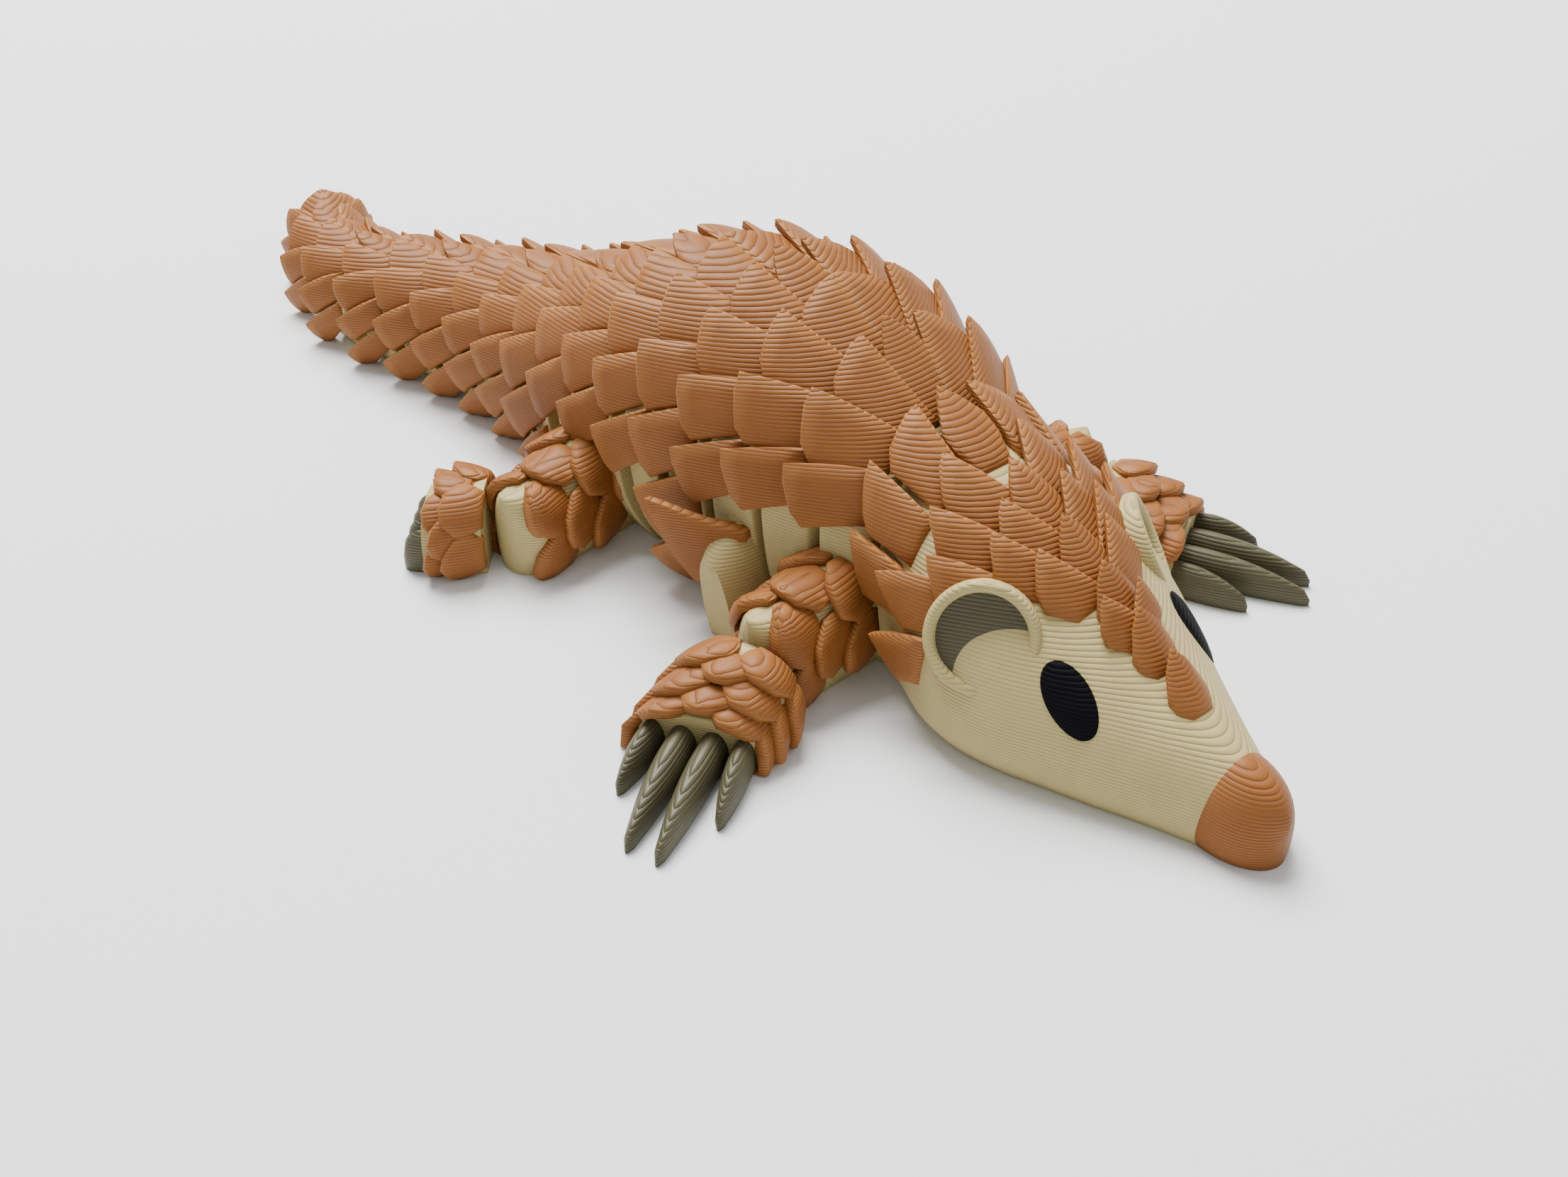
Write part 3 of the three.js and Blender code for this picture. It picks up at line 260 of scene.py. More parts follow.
def hermite(knots, table, at):
    """Values of a table between its knots: a cubic through each pair of rows, with each
    row's slope the mean of the slopes beside it, run on in a straight line past the ends."""
    gap = np.diff(knots)
    rate = np.diff(table, axis=0) / gap[:, None]
    slope = np.vstack([rate[:1], (rate[:-1] + rate[1:]) / 2, rate[-1:]])
    inside = np.clip(at, knots[0], knots[-1])
    i = np.clip(np.searchsorted(knots, inside, side="right") - 1, 0, len(gap) - 1)
    t = ((inside - knots[i]) / gap[i])[:, None]
    a, b = table[i], table[i + 1]
    m, n = slope[i] * gap[i][:, None], slope[i + 1] * gap[i][:, None]
    value = (
        a * (2 * t**3 - 3 * t**2 + 1)
        + b * (3 * t**2 - 2 * t**3)
        + m * (t**3 - 2 * t**2 + t)
        + n * (t**3 - t**2)
    )
    end_slope = np.where((at < knots[0])[:, None], slope[0], slope[-1])
    return value + end_slope * (at - inside)[:, None]


KEYS = ("x", "y", "turn", "lean", "power", "widest", "base", "wedge", "half_width", "height")
DEFAULTS = {"y": 0, "turn": 0, "lean": 0, "power": 2.5, "widest": 0.3, "base": 0.8, "wedge": 0}
ARCH_SAMPLES = 48
FLANK_SAMPLES = 12
# Arc kept clear of the floor, and half the arc over which a slope is taken
ARC_MARGIN, ARC_STEP = 0.06, 0.05
SHARP_ANGLE = 48
SPUN_SIDES = 40
# Loops along each skin, and steps down its side
HEAD_LOOPS, HEAD_STEPS, NOSE_SIDE_STEPS = 90, 48, 32
LIMB_LOOPS, STUB_LOOPS, LIMB_STEPS = 10, 6, 16
SHOULDER_LOOPS, CLAW_LOOPS, TOE_LOOPS = (8, 14), (22, 10), (12, 8)


def row(x, half_width, height, **more):
    """Row of sizes for a skin, plain wherever nothing more is given."""
    return {**DEFAULTS, "x": x, "half_width": half_width, "height": height, **more}


class Skin:
    """A squared arch on a flat belly, carried along rows of sizes from front to back.

    A section's upper part is a superellipse: sideways = half width * cos(a)^(2/power) and
    up = waist + (height - waist) * sin(a)^(2/power). Below the waist the flank narrows as
    a sine to the belly. A point is named by its distance back, its signed arc length down
    from the top and its height above the skin."""

    def __init__(self, rows):
        self.table = np.array([[size[key] for key in KEYS] for size in rows], dtype=float)
        steps = np.hypot(np.diff(self.table[:, 0]), np.diff(self.table[:, 1]))
        self.travel = np.concatenate([[0.0], np.cumsum(steps)])
        self.length = self.travel[-1]

    def sections(self, distance):
        """Sizes of the sections at distances back from the first row."""
        values = hermite(self.travel, self.table, np.atleast_1d(np.asarray(distance, float)))
        return {key: values[:, i] for i, key in enumerate(KEYS)}

    def outline(self, section, inset=0.0):
        """Fine outline from the top centre to the floor: sideways, up and arc length."""
        half = (section["half_width"] - inset)[:, None]
        height = (section["height"] - inset)[:, None]
        waist = section["widest"][:, None] * height
        power = 2 / section["power"][:, None]
        angle = (math.pi / 2) * (1 - np.linspace(0, 1, ARCH_SAMPLES + 1))[None]
        side = half * np.cos(angle) ** power
        up = waist + (height - waist) * np.sin(angle) ** power
        side[:, 0] = 0
        drop = np.linspace(1, 0, FLANK_SAMPLES + 1)[None, 1:]
        base = section["base"][:, None]
        low_side = half * (base + (1 - base) * np.sin(drop * math.pi / 2))
        side = np.hstack([side, low_side])
        up = np.hstack([up, waist * drop])
        step = np.hypot(np.diff(side, axis=1), np.diff(up, axis=1))
        reach = np.hstack([np.zeros((len(side), 1)), np.cumsum(step, axis=1)])
        return side, up, reach

    def half_length(self, distance):
        """Arc length from the top centre to the floor."""
        return float(self.outline(self.sections(distance))[2][0, -1])

    def arc_at_height(self, distance, height):
        """Arc length down from the top where the skin has this height."""
        _, up, reach = self.outline(self.sections(distance))
        return float(np.interp(-height, -up[0], reach[0]))

    def place(self, section, side, up, wedge=None):
        """Point of a section in the piece's frame: leaned back by height and by wedge."""
        back = up * np.tan(np.radians(section["lean"])[:, None])
        if wedge is not None:
            back = back + np.abs(side) * wedge[:, None]
        turn = np.radians(section["turn"])[:, None]
        x = section["x"][:, None] - back * np.cos(turn) - side * np.sin(turn)
        y = section["y"][:, None] - back * np.sin(turn) + side * np.cos(turn)
        return np.stack([x, y, up], axis=-1)

    def points(self, distance, around, rise):
        """Points at distances back, signed arcs down from the top and heights above."""
        section = self.sections(distance)
        side, up, reach = self.outline(section)
        line = np.arange(len(side))

        def pick(arc):
            goal = np.clip(arc, 0, reach[:, -1])
            i = np.clip((reach <= goal[:, None]).sum(axis=1) - 1, 0, reach.shape[1] - 2)
            part = (goal - reach[line, i]) / (reach[line, i + 1] - reach[line, i])
            return [t[line, i] + part * (t[line, i + 1] - t[line, i]) for t in (side, up)]

        arc = np.minimum(np.abs(around), reach[:, -1] - ARC_MARGIN)
        way = np.where(around < 0, -1.0, 1.0)
        here, above, below = pick(arc), pick(arc - ARC_STEP), pick(arc + ARC_STEP)
        slope = np.stack([below[0] - above[0], below[1] - above[1]], axis=-1)
        slope /= np.linalg.norm(slope, axis=-1, keepdims=True)
        flat = self.place(section, (way * here[0])[:, None], here[1][:, None])[:, 0]
        out_side, out_up = way * (here[0] - slope[:, 1]), here[1] + slope[:, 0]
        out = self.place(section, out_side[:, None], out_up[:, None])[:, 0]
        return flat + (out - flat) * rise[:, None]

    def even_loops(self, count, steps):
        """Evenly spaced loops from end to end."""
        return self.loops(np.linspace(0, self.length, count), 0.0, steps)

    def loops(self, distance, inset, steps):
        """Closed loops round the skin at distances back, each pulled in by its inset."""
        section = self.sections(distance)
        side, up, reach = self.outline(section, inset)
        share = np.linspace(0, 1, steps + 1)
        half_side = np.array([np.interp(share * r[-1], r, s) for r, s in zip(reach, side)])
        half_up = np.array([np.interp(share * r[-1], r, u) for r, u in zip(reach, up)])
        floor = np.linspace(1, -1, 5)[1:-1] * half_side[:, -1:]
        around_side = np.hstack([half_side, floor, -half_side[:, :0:-1]])
        around_up = np.hstack([half_up, 0 * floor, half_up[:, :0:-1]])
        return self.place(section, around_side, around_up, section["wedge"])


# Meshes


def closed_loops(loops):
    """Closed surface through equal loops, with a fan to a middle point at each end."""
    rows, count = loops.shape[:2]
    ends = loops[[0, -1]].mean(axis=1)
    verts = np.vstack([loops.reshape(-1, 3), ends])
    i, j = np.meshgrid(np.arange(rows - 1), np.arange(count), indexing="ij")
    k = (j + 1) % count
    quads = np.stack([i * count + j, i * count + k, (i + 1) * count + k, (i + 1) * count + j], -1)
    ring = np.arange(count)
    after = (ring + 1) % count
    first = np.stack([after, ring, np.full(count, rows * count)], -1)
    last = (rows - 1) * count
    final = np.stack([last + ring, last + after, np.full(count, rows * count + 1)], -1)
    return verts, quads.reshape(-1, 4).tolist() + first.tolist() + final.tolist()


def outward(verts, faces):
    """Faces turned so that the closed surface's volume is positive."""
    tris = np.array([[f[0], f[i], f[i + 1]] for f in faces for i in range(1, len(f) - 1)])
    a, b, c = verts[tris[:, 0]], verts[tris[:, 1]], verts[tris[:, 2]]
    if np.einsum("ij,ij->i", a, np.cross(b, c)).sum() < 0:
        return [face[::-1] for face in faces]
    return faces


class Batch:
    """Closed surfaces gathered into one mesh, with a value at each point for the painted highlight
    on the rims of the scales.
    """

    def __init__(self):
        self.verts, self.faces, self.edge, self.count = [], [], [], 0

    def add(self, verts, faces, edge=None):
        faces = outward(verts, faces)
        self.verts.append(verts)
        self.faces += [[i + self.count for i in face] for face in faces]
        self.edge.append(np.zeros(len(verts)) if edge is None else edge)
        self.count += len(verts)

    def build(self, name, body, slot, place):
        """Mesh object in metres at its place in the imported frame, riding on a body."""
        mesh = bpy.data.meshes.new(name)
        local = np.vstack(self.verts)
        world = place(local)
        world[:, 2] = np.maximum(world[:, 2], 0)
        mesh.from_pydata((world * MM).tolist(), [], self.faces)
        mesh.polygons.foreach_set("use_smooth", np.ones(len(mesh.polygons), dtype=bool))
        # Share of the painted highlight on the scales' rims at each point
        rim_highlight = mesh.attributes.new("edge", "FLOAT", "POINT")
        rim_highlight.data.foreach_set("value", np.concatenate(self.edge).astype(np.float32))
        mesh.update()
        mesh.set_sharp_from_angle(angle=math.radians(SHARP_ANGLE))
        piece = linked(name, mesh)
        mesh.materials.append(material_for(slot))
        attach(piece, body)
        return piece


def linked(name, data):
    """New object of the scene with this data."""
    made = bpy.data.objects.new(name, data)
    bpy.context.scene.collection.objects.link(made)
    return made


def turned(points, degrees, x=0.0, y=0.0):
    """Points turned about z and then shifted in plan."""
    c, s = math.cos(math.radians(degrees)), math.sin(math.radians(degrees))
    out = np.array(points, dtype=float)
    out[:, 0] = points[:, 0] * c - points[:, 1] * s + x
    out[:, 1] = points[:, 0] * s + points[:, 1] * c + y
    return out


# Places


def pin_place(height):
    """Height of a joint's pin and its distance ahead of the seam's foot."""
    middle = max(PIN_LOWEST, PIN_SHARE * height)
    return middle, PIN_DEPTH - middle * math.tan(math.radians(SEAM_LEAN))


def ring_middles():
    """Middle of each ring in plan, and the foot of the last seam."""
    x, y = NECK_SEAM
    middles = []
    for _, heading, pitch, _, _ in RINGS:
        dx = pitch * math.cos(math.radians(heading))
        dy = pitch * math.sin(math.radians(heading))
        middles.append((x - dx / 2, y - dy / 2))
        x, y = x - dx, y - dy
    return middles, (x, y)


MIDDLES, TAIL_SEAM = ring_middles()
RING_INDEX = {ring[0]: i for i, ring in enumerate(RINGS)}


def frame_shift():
    """Shift from the chain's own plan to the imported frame, from one joint of the record."""
    joint = next(j for j in frame["joints"] if j["name"] == "torso_2_torso_3")
    index = RING_INDEX["torso_3"]
    heading = math.radians(RINGS[index][1])
    ahead = pin_place(SEAM_SIZES[index][1])[1] + RINGS[index][2] / 2
    x = MIDDLES[index][0] + ahead * math.cos(heading)
    y = MIDDLES[index][1] + ahead * math.sin(heading)
    return joint["pos_m"][0] / MM - x, joint["pos_m"][1] / MM - y


SHIFT = frame_shift()


def at_place(x, y, heading):
    """Function that carries a piece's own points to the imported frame."""
    return lambda points: turned(points, heading, x + SHIFT[0], y + SHIFT[1])


def ring_place(index):
    return at_place(*MIDDLES[index], RINGS[index][1])


def limb_place(limb):
    """Place of a limb's own frame, which points back towards its body."""
    _, hand, kind, swing, _, _ = limb
    stub = STUBS[kind]
    index = RING_INDEX[stub["ring"]]
    inner = ring_place(index)
    turn = -hand * (90 + swing)
    return lambda points: inner(turned(points, turn, stub["ahead"], hand * stub["out"]))


# Scales

GRID_U, GRID_V = 6, 5
RIM_LEVELS = (0.2, 0.8)
ROOT_SHARE = 0.32
# Share of a tier's spacing that its last scale's middle keeps off the floor
LAST_SCALE = 0.3
# Painted highlight on a scale's edges: round the face and on the lower rim, and the share of it
# left at the foot
FACE_HIGHLIGHT, LOW_RIM_HIGHLIGHT, FOOT_HIGHLIGHT = 0.55, 0.3, 0.35

# Slanted scales: rise of the foot and length of the lower edge, as shares of the tip's
SLANTED = {"side": (0.6, 0.84), "brow": (0.3, 0.55)}
# Pointed scales: fall of the sides, fall and bend of the rear edge, half width at the
# front, and share of the length where it is full
POINTED = {
    "top": (0.45, 0.45, 1.3, 0.37, 0.6),
    "crown": (0.8, 0.5, 1.3, 0.3, 0.5),
    "round": (0.5, 0.42, 2.4, 0.4, 0.5),
}


def scale_shape(kind, u, v):
    """Outline of a scale from shares u to its rear edge and v up its width. A side scale
    ends in a slanted edge with its blunt tip at the top, and a brow one in the same edge
    with its foot near the skin. A top one narrows to a tip on its centre line, a crown one
    is folded along that line, and a round one ends in an arc. Returns shares of length,
    of width, and of the tip's rise. The numbers cut its corners, spread its upper edge
    and crown its face."""
    if kind in SLANTED:
        foot, back = SLANTED[kind]
        rear = back + (1 - back) * v**1.2
        rear = rear - 0.12 * np.clip(1 - v / 0.25, 0, 1) ** 2
        rear = rear - 0.05 * np.clip((v - 0.8) / 0.2, 0, 1) ** 2
        low, high = -0.47, 0.42 + 0.08 * u
        lift = (0.06 + 0.14 * v) * (1 - u) + (foot + (1 - foot) * v) * u
        lift = lift + 0.05 * np.sin(math.pi * u) * np.sin(math.pi * v)
        return u * rear, low + (high - low) * v, lift
    across = 2 * v - 1
    off = np.abs(across)
    keel, point, bend, front, widens = POINTED[kind]
    rear = 1 - point * off**bend
    wide = front + (0.5 - front) * np.minimum(1, u / widens)
    lift = (0.14 * (1 - u) + u) * (1 - keel * off**1.3)
    return u * rear, across * wide, lift + 0.04 * np.sin(math.pi * u)


def sides(arc):
    """Sides on which a scale at this arc stands: both, or the middle line."""
    return [0] if arc == 0 else [-1, 1]


def add_scale(batch, skin, kind, front, side, arc, length, width, rise, skew=0.0):
    """One plate: a grid for its outer face, the same grid inset and lower for its inner
    face, and a rounded rim of two loops between them, sunk into the skin at its front."""
    sizes = bpy.context.scene.pangolin_sizes
    inset_u, inset_v = sizes.bevel / MM / length, sizes.bevel / MM / width
    shares = np.linspace(0, 1, GRID_U), np.linspace(0, 1, GRID_V)
    grid_u, grid_v = np.meshgrid(*shares, indexing="ij")
    index = np.arange(GRID_U * GRID_V).reshape(GRID_U, GRID_V)
    border = np.concatenate([index[:-1, 0], index[-1, :-1], index[:0:-1, -1], index[0, :0:-1]])
    flat_u, flat_v = grid_u.ravel(), grid_v.ravel()
    inner_u = inset_u + (1 - 2 * inset_u) * flat_u
    inner_v = inset_v + (1 - 2 * inset_v) * flat_v
    rim_u, rim_v = flat_u[border], flat_v[border]
    u = np.concatenate([inner_u, rim_u, rim_u, inner_u])
    v = np.concatenate([inner_v, rim_v, rim_v, inner_v])
    n, m = flat_u.size, border.size
    depth = np.repeat((0.0, *RIM_LEVELS, 1.0), (n, m, m, n))
    along, up, lift = scale_shape(kind, u, v)
    outer = lift * rise
    root = np.clip(1 - along / ROOT_SHARE, 0, 1)
    inner = np.maximum(outer - sizes.thickness / MM, -sizes.root / MM)
    inner = inner * (1 - root) - sizes.root / MM * root
    around = up * width if side == 0 else side * (arc - up * width - skew * (1 - along))
    points = skin.points(front + along * length, around, outer + (inner - outer) * depth)

    i, j = np.meshgrid(np.arange(GRID_U - 1), np.arange(GRID_V - 1), indexing="ij")
    cell = [index[i, j], index[i + 1, j], index[i + 1, j + 1], index[i, j + 1]]
    cell = np.stack(cell, -1).reshape(-1, 4)
    ring = np.arange(m)
    after = (ring + 1) % m
    bands = [border, n + ring, n + m + ring, n + 2 * m + border]
    rim = [
        np.stack([a[ring], b[ring], b[after], a[after]], -1)
        for a, b in zip(bands[:-1], bands[1:])
    ]
    faces = np.vstack([cell, *rim, cell[:, ::-1] + n + 2 * m]).tolist()
    # Painted highlight on the rim: full at its outer loop, less round the face and on its lower
    # loop, fading towards the foot
    edge = np.repeat((0.0, 1.0, LOW_RIM_HIGHLIGHT, 0.0), (n, m, m, n))
    edge[border] = FACE_HIGHLIGHT
    batch.add(points, faces, edge * (FOOT_HIGHLIGHT + (1 - FOOT_HIGHLIGHT) * v))


def add_tier(batch, skin, kinds, count, front, lengths, rises, share=1.0, skew=0.0):
    """A tier of scales round a skin, odd tiers with one on the middle line. The kinds are
    those of the middle and the side ones; lengths and rises run from the sides to the top."""
    total = skin.half_length(front + lengths[0] / 2)
    spacing = 2 * total / count
    first = 0 if count % 2 == 1 else 0.5
    i = 0
    while (first + i) * spacing < total - LAST_SCALE * spacing:
        arc = (first + i) * spacing
        high = max(0.0, 1 - arc / (TOP_SHARE * total))
        size = [a + (b - a) * high for a, b in (lengths, rises)]
        if arc / total < share:
            kind = kinds[0 if arc == 0 else 1]
            width = spacing * bpy.context.scene.pangolin_sizes.overlap
            shift = skew * min(1.0, arc / (SKEW_SHARE * total))
            for side in sides(arc):
                here = (front, side, arc, size[0], width, size[1], shift)
                add_scale(batch, skin, kind, *here)
        i += 1


def add_plates(batch, skin, front, arcs, width, length, rise):
    """A row of round plates at arcs from the middle line, one each side of it."""
    for arc in arcs:
        for side in sides(arc):
            add_scale(batch, skin, "round", front, side, arc, length, width, rise)


# Body rings


def ring_skin(index):
    """Skin of a ring between its two leaning, wedged faces."""
    _, _, pitch, _, wedge = RINGS[index]
    half = (pitch - SEAM_GAP) / 2
    slope = math.tan(math.radians(wedge))
    (a, b), (c, d) = SEAM_SIZES[index], SEAM_SIZES[index + 1]
    return Skin(
        [
            row(half, a, b, lean=SEAM_LEAN, wedge=slope),
            row(-half, c, d, lean=SEAM_LEAN, wedge=-slope),
        ]
    )


def add_core(batch, skin, rows=5):
    """The bare body between two faces, its rims rounded by a quarter circle."""
    turn = np.linspace(0, math.pi / 2, 4)
    near = CORE_RIM - CORE_RIM * np.cos(turn)
    inset = CORE_RIM - CORE_RIM * np.sin(turn)
    middle = np.linspace(CORE_RIM, skin.length - CORE_RIM, rows)[1:-1]
    distance = np.concatenate([near, middle, skin.length - near[::-1]])
    pull = np.concatenate([inset, np.zeros(len(middle)), inset[::-1]])
    batch.add(*closed_loops(skin.loops(distance, pull, CORE_STEPS)))


def add_neck(batch, index):
    """Neck of a joint's pin, which shows in the gap in front of a ring."""
    pitch = RINGS[index][2]
    middle, _ = pin_place(SEAM_SIZES[index][1])
    lean = middle * math.tan(math.radians(SEAM_LEAN))
    front = (pitch + SEAM_GAP) / 2 - lean - NECK_SHORT
    back, half = front - NECK_LENGTH, NECK_HALF_WIDTH
    corners = [
        (x, y, z)
        for z in (middle - PIN_HALF_HEIGHT, middle + PIN_HALF_HEIGHT)
        for x, y in ((back, -half), (front, -half), (front, half), (back, half))
    ]
    faces = [[3, 2, 1, 0], [4, 5, 6, 7], [0, 1, 5, 4], [1, 2, 6, 5], [2, 3, 7, 6], [3, 0, 4, 7]]
    batch.add(np.array(corners), faces)


def ring_tier(batch, skin, index):
    """Tier of a ring: its scales start behind the front face and pass the rear one."""
    name, _, pitch, count, wedge = RINGS[index]
    half_width = SEAM_SIZES[index][0]
    grown = min(max(half_width / WIDE_HALF_WIDTH, SMALL_BODY), 1.0)
    slope = math.tan(math.radians(wedge))
    front = SCALE_SETBACK + half_width * slope
    past = pitch - SEAM_GAP / 2 - front - 2 * slope
    lengths = [past + a + (b - a) * grown for a, b in (SCALE_PAST["side"], SCALE_PAST["top"])]
    rises = [a + (b - a) * grown for a, b in (SCALE_RISE["side"], SCALE_RISE["top"])]
    least, most, base, rate = SCALE_SKEW
    growth = skin.half_length(skin.length) - skin.half_length(0)
    skew = min(max(base + rate * growth, least), most)
    share = LOW_SCALES.get(name, 1.0)
    add_tier(batch, skin, ("top", "side"), count, front, lengths, rises, share, skew)


def stub_skin(kind):
    """Stub from the body to a round end about the limb's pin."""
    stub = STUBS[kind]
    rows = [row(stub["out"] - at, half, high) for at, half, high in stub["rows"]]
    round_end, height = stub["rows"][-1][1:]
    for share in STUB_END:
        rows.append(row(-share * round_end, round_end * math.sqrt(1 - share * share), height))
    return Skin(rows)


# Materials

NOISE_SCALE, NOISE_DETAIL = 700, 3
# Powers that round a bead and its groove; how much taller a flatter surface makes one
BEAD_POWER, GROOVE_POWER = 0.55, 0.35
FLAT_POWER, FLAT_EXTRA = 3.0, 1.6
# Painted shade in the grooves between layers as a share of the colour, and the darker tone of the
# random blotches
GROOVE_PAINTED_SHADE, BLOTCH_SHADE = 0.45, 0.86
# Setting of each slot's colour, its roughness and specular level
SLOTS = {
    "caramel_plastic": ("caramel", 0.5, 0.22),
    "cream_plastic": ("cream", 0.5, 0.22),
    "olive_plastic": ("olive", 0.42, 0.3),
    "eye_black": ("black", 0.6, 0.06),
}


def add_math(tree, operation, a, b=None):
    """Output of a new math node on numbers or sockets."""
    node = tree.nodes.new("ShaderNodeMath")
    node.operation = operation
    for socket, value in zip(node.inputs, (a, b)):
        if value is None:
            continue
        if isinstance(value, (int, float)):
            socket.default_value = value
        else:
            tree.links.new(value, socket)
    return node.outputs[0]


def layer_group():
    """Printed layers: rounded beads stacked up the object's own Z, wavering a little, and taller
    where the surface lies flatter. Puts out their height, a mask of the grooves for the painted
    shade in them, and blotches."""
    group = bpy.data.node_groups.new("Printed layers", "ShaderNodeTree")
    number = "NodeSocketFloat"
    new, link, do = group.nodes.new, group.links.new, partial(add_math, group)
    for label, value in (("Layer height", 0.0002), ("Waver", 0.25)):
        socket = group.interface.new_socket(label, in_out="INPUT", socket_type=number)
        socket.default_value = value
    for label in ("Height", "Groove", "Blotch"):
        group.interface.new_socket(label, in_out="OUTPUT", socket_type=number)
    inside = new("NodeGroupInput")
    outside = new("NodeGroupOutput")
    coordinate = new("ShaderNodeTexCoord")
    split = new("ShaderNodeSeparateXYZ")
    link(coordinate.outputs["Object"], split.inputs[0])
    noise = new("ShaderNodeTexNoise")
    noise.inputs["Scale"].default_value = NOISE_SCALE
    noise.inputs["Detail"].default_value = NOISE_DETAIL
    link(coordinate.outputs["Object"], noise.inputs["Vector"])
    layers = do("DIVIDE", split.outputs["Z"], inside.outputs["Layer height"])
    sway = do("SUBTRACT", noise.outputs[0], 0.5)
    sway = do("MULTIPLY", sway, inside.outputs["Waver"])
    phase = do("MULTIPLY", do("ADD", layers, sway), math.pi)
    bead = do("ABSOLUTE", do("SINE", phase))
    rounded = do("POWER", bead, BEAD_POWER)
    normal = new("ShaderNodeSeparateXYZ")
    link(coordinate.outputs["Normal"], normal.inputs[0])
    flat = do("ABSOLUTE", normal.outputs["Z"])
    flat = do("POWER", flat, FLAT_POWER)
    taller = do("ADD", do("MULTIPLY", flat, FLAT_EXTRA), 1.0)
    link(do("MULTIPLY", rounded, taller), outside.inputs["Height"])
    groove = do("SUBTRACT", 1.0, do("POWER", bead, GROOVE_POWER))
    link(groove, outside.inputs["Groove"])
    link(noise.outputs[0], outside.inputs["Blotch"])
    return group


def plastic(name, colour, roughness, shine, look):
    """Printed plastic: layer beads as a bump, painted shade in the grooves between layers, and a
    painted highlight on the rims of the scales.
    """
    material = bpy.data.materials.new(name)
    material.use_nodes = True
    tree = material.node_tree
    shader = tree.nodes["Principled BSDF"]
    layers = tree.nodes.new("ShaderNodeGroup")
    layers.node_tree = bpy.data.node_groups.get("Printed layers") or layer_group()
    layers.inputs["Layer height"].default_value = look.layer_height
    # Share of the painted highlight on the scales' rims
    rim_highlight = tree.nodes.new("ShaderNodeAttribute")
    rim_highlight.attribute_name = "edge"

    def mixed(first, second, factor, amount=None):
        """Mix of two colours, the factor times an amount where one is given."""
        node = tree.nodes.new("ShaderNodeMix")
        node.data_type = "RGBA"
        if amount is not None:
            factor = add_math(tree, "MULTIPLY", factor, amount)
        tree.links.new(factor, node.inputs[0])
        for socket, value in ((node.inputs[6], first), (node.inputs[7], second)):
            if isinstance(value, tuple):
                socket.default_value = value
            else:
                tree.links.new(value, socket)
        return node.outputs[2]

    base = (*colour, 1.0)
    # Colour of the painted shade in the grooves, and the darker tone of the random blotches
    dark = tuple(c * GROOVE_PAINTED_SHADE for c in colour) + (1.0,)
    deep = tuple(c * BLOTCH_SHADE for c in colour) + (1.0,)
    blotched = mixed(base, deep, layers.outputs["Blotch"])
    # Painted highlight on the rims of the scales
    edged = mixed(blotched, (*look.painted_highlight, 1.0), rim_highlight.outputs["Fac"], look.edge_wear)
    # Painted shade in the grooves between layers
    grooved = mixed(edged, dark, layers.outputs["Groove"], look.groove)
    tree.links.new(grooved, shader.inputs["Base Color"])
    bump = tree.nodes.new("ShaderNodeBump")
    bump.inputs["Distance"].default_value = look.layer_depth
    bump.inputs["Strength"].default_value = 1.0
    tree.links.new(layers.outputs["Height"], bump.inputs["Height"])
    tree.links.new(bump.outputs["Normal"], shader.inputs["Normal"])
    shader.inputs["Roughness"].default_value = roughness
    shader.inputs["Specular IOR Level"].default_value = shine
    return material


def material_for(slot):
    """The material of a record slot, made at first use."""
    found = bpy.data.materials.get(f"Printed {slot}")
    if found:
        return found
    look = bpy.context.scene.pangolin_look
    name, roughness, shine = SLOTS[slot]
    return plastic(f"Printed {slot}", tuple(getattr(look, name)), roughness, shine, look)


# Settings


def length_property(label, words, value):
    return bpy.props.FloatProperty(
        name=label, description=words, default=value, unit="LENGTH", subtype="DISTANCE"
    )


def colour_property(label, words, value):
    return bpy.props.FloatVectorProperty(
        name=label, description=words, default=value, subtype="COLOR", size=3, min=0, max=1
    )


class PangolinSizes(bpy.types.PropertyGroup):
    """Sizes of the scales."""

    thickness: length_property("Thickness", "How thick a scale is", 0.00075)
    bevel: length_property("Bevel", "Rounding of a scale's rim", 0.00018)
    root: length_property("Root", "How far a scale sinks into the body", 0.0006)
    overlap: bpy.props.FloatProperty(
        name="Overlap", description="Width of a scale against its share of the tier", default=0.99
    )


class PangolinLook(bpy.types.PropertyGroup):
    """Colours and surface of the printed plastic."""

    caramel: colour_property("Caramel", "Scales and nose", (0.285, 0.098, 0.021))
    # Colour of the painted highlight on the rims of the scales
    painted_highlight: colour_property("Painted rim highlight", "Rims of the scales", (0.50, 0.21, 0.058))
    cream: colour_property("Cream", "Face and body between the scales", (0.53, 0.42, 0.18))
    olive: colour_property("Olive", "Claws and ear linings", (0.090, 0.078, 0.038))
    black: colour_property("Black", "Eyes", (0.003, 0.003, 0.004))
    layer_height: length_property("Layer height", "Height of one printed layer", 0.0002)
    layer_depth: length_property("Layer depth", "Depth of the grooves between layers", 0.00003)
    # How dark the painted shade in the grooves between layers is
    groove: bpy.props.FloatProperty(
        name="Groove", description="How dark the grooves between layers are", default=0.5
    )
    # Strength of the painted highlight on the rims of the scales
    edge_wear: bpy.props.FloatProperty(
        name="Rim highlight strength", description="How pale the rims of the scales are", default=0.5
    )


# Pieces


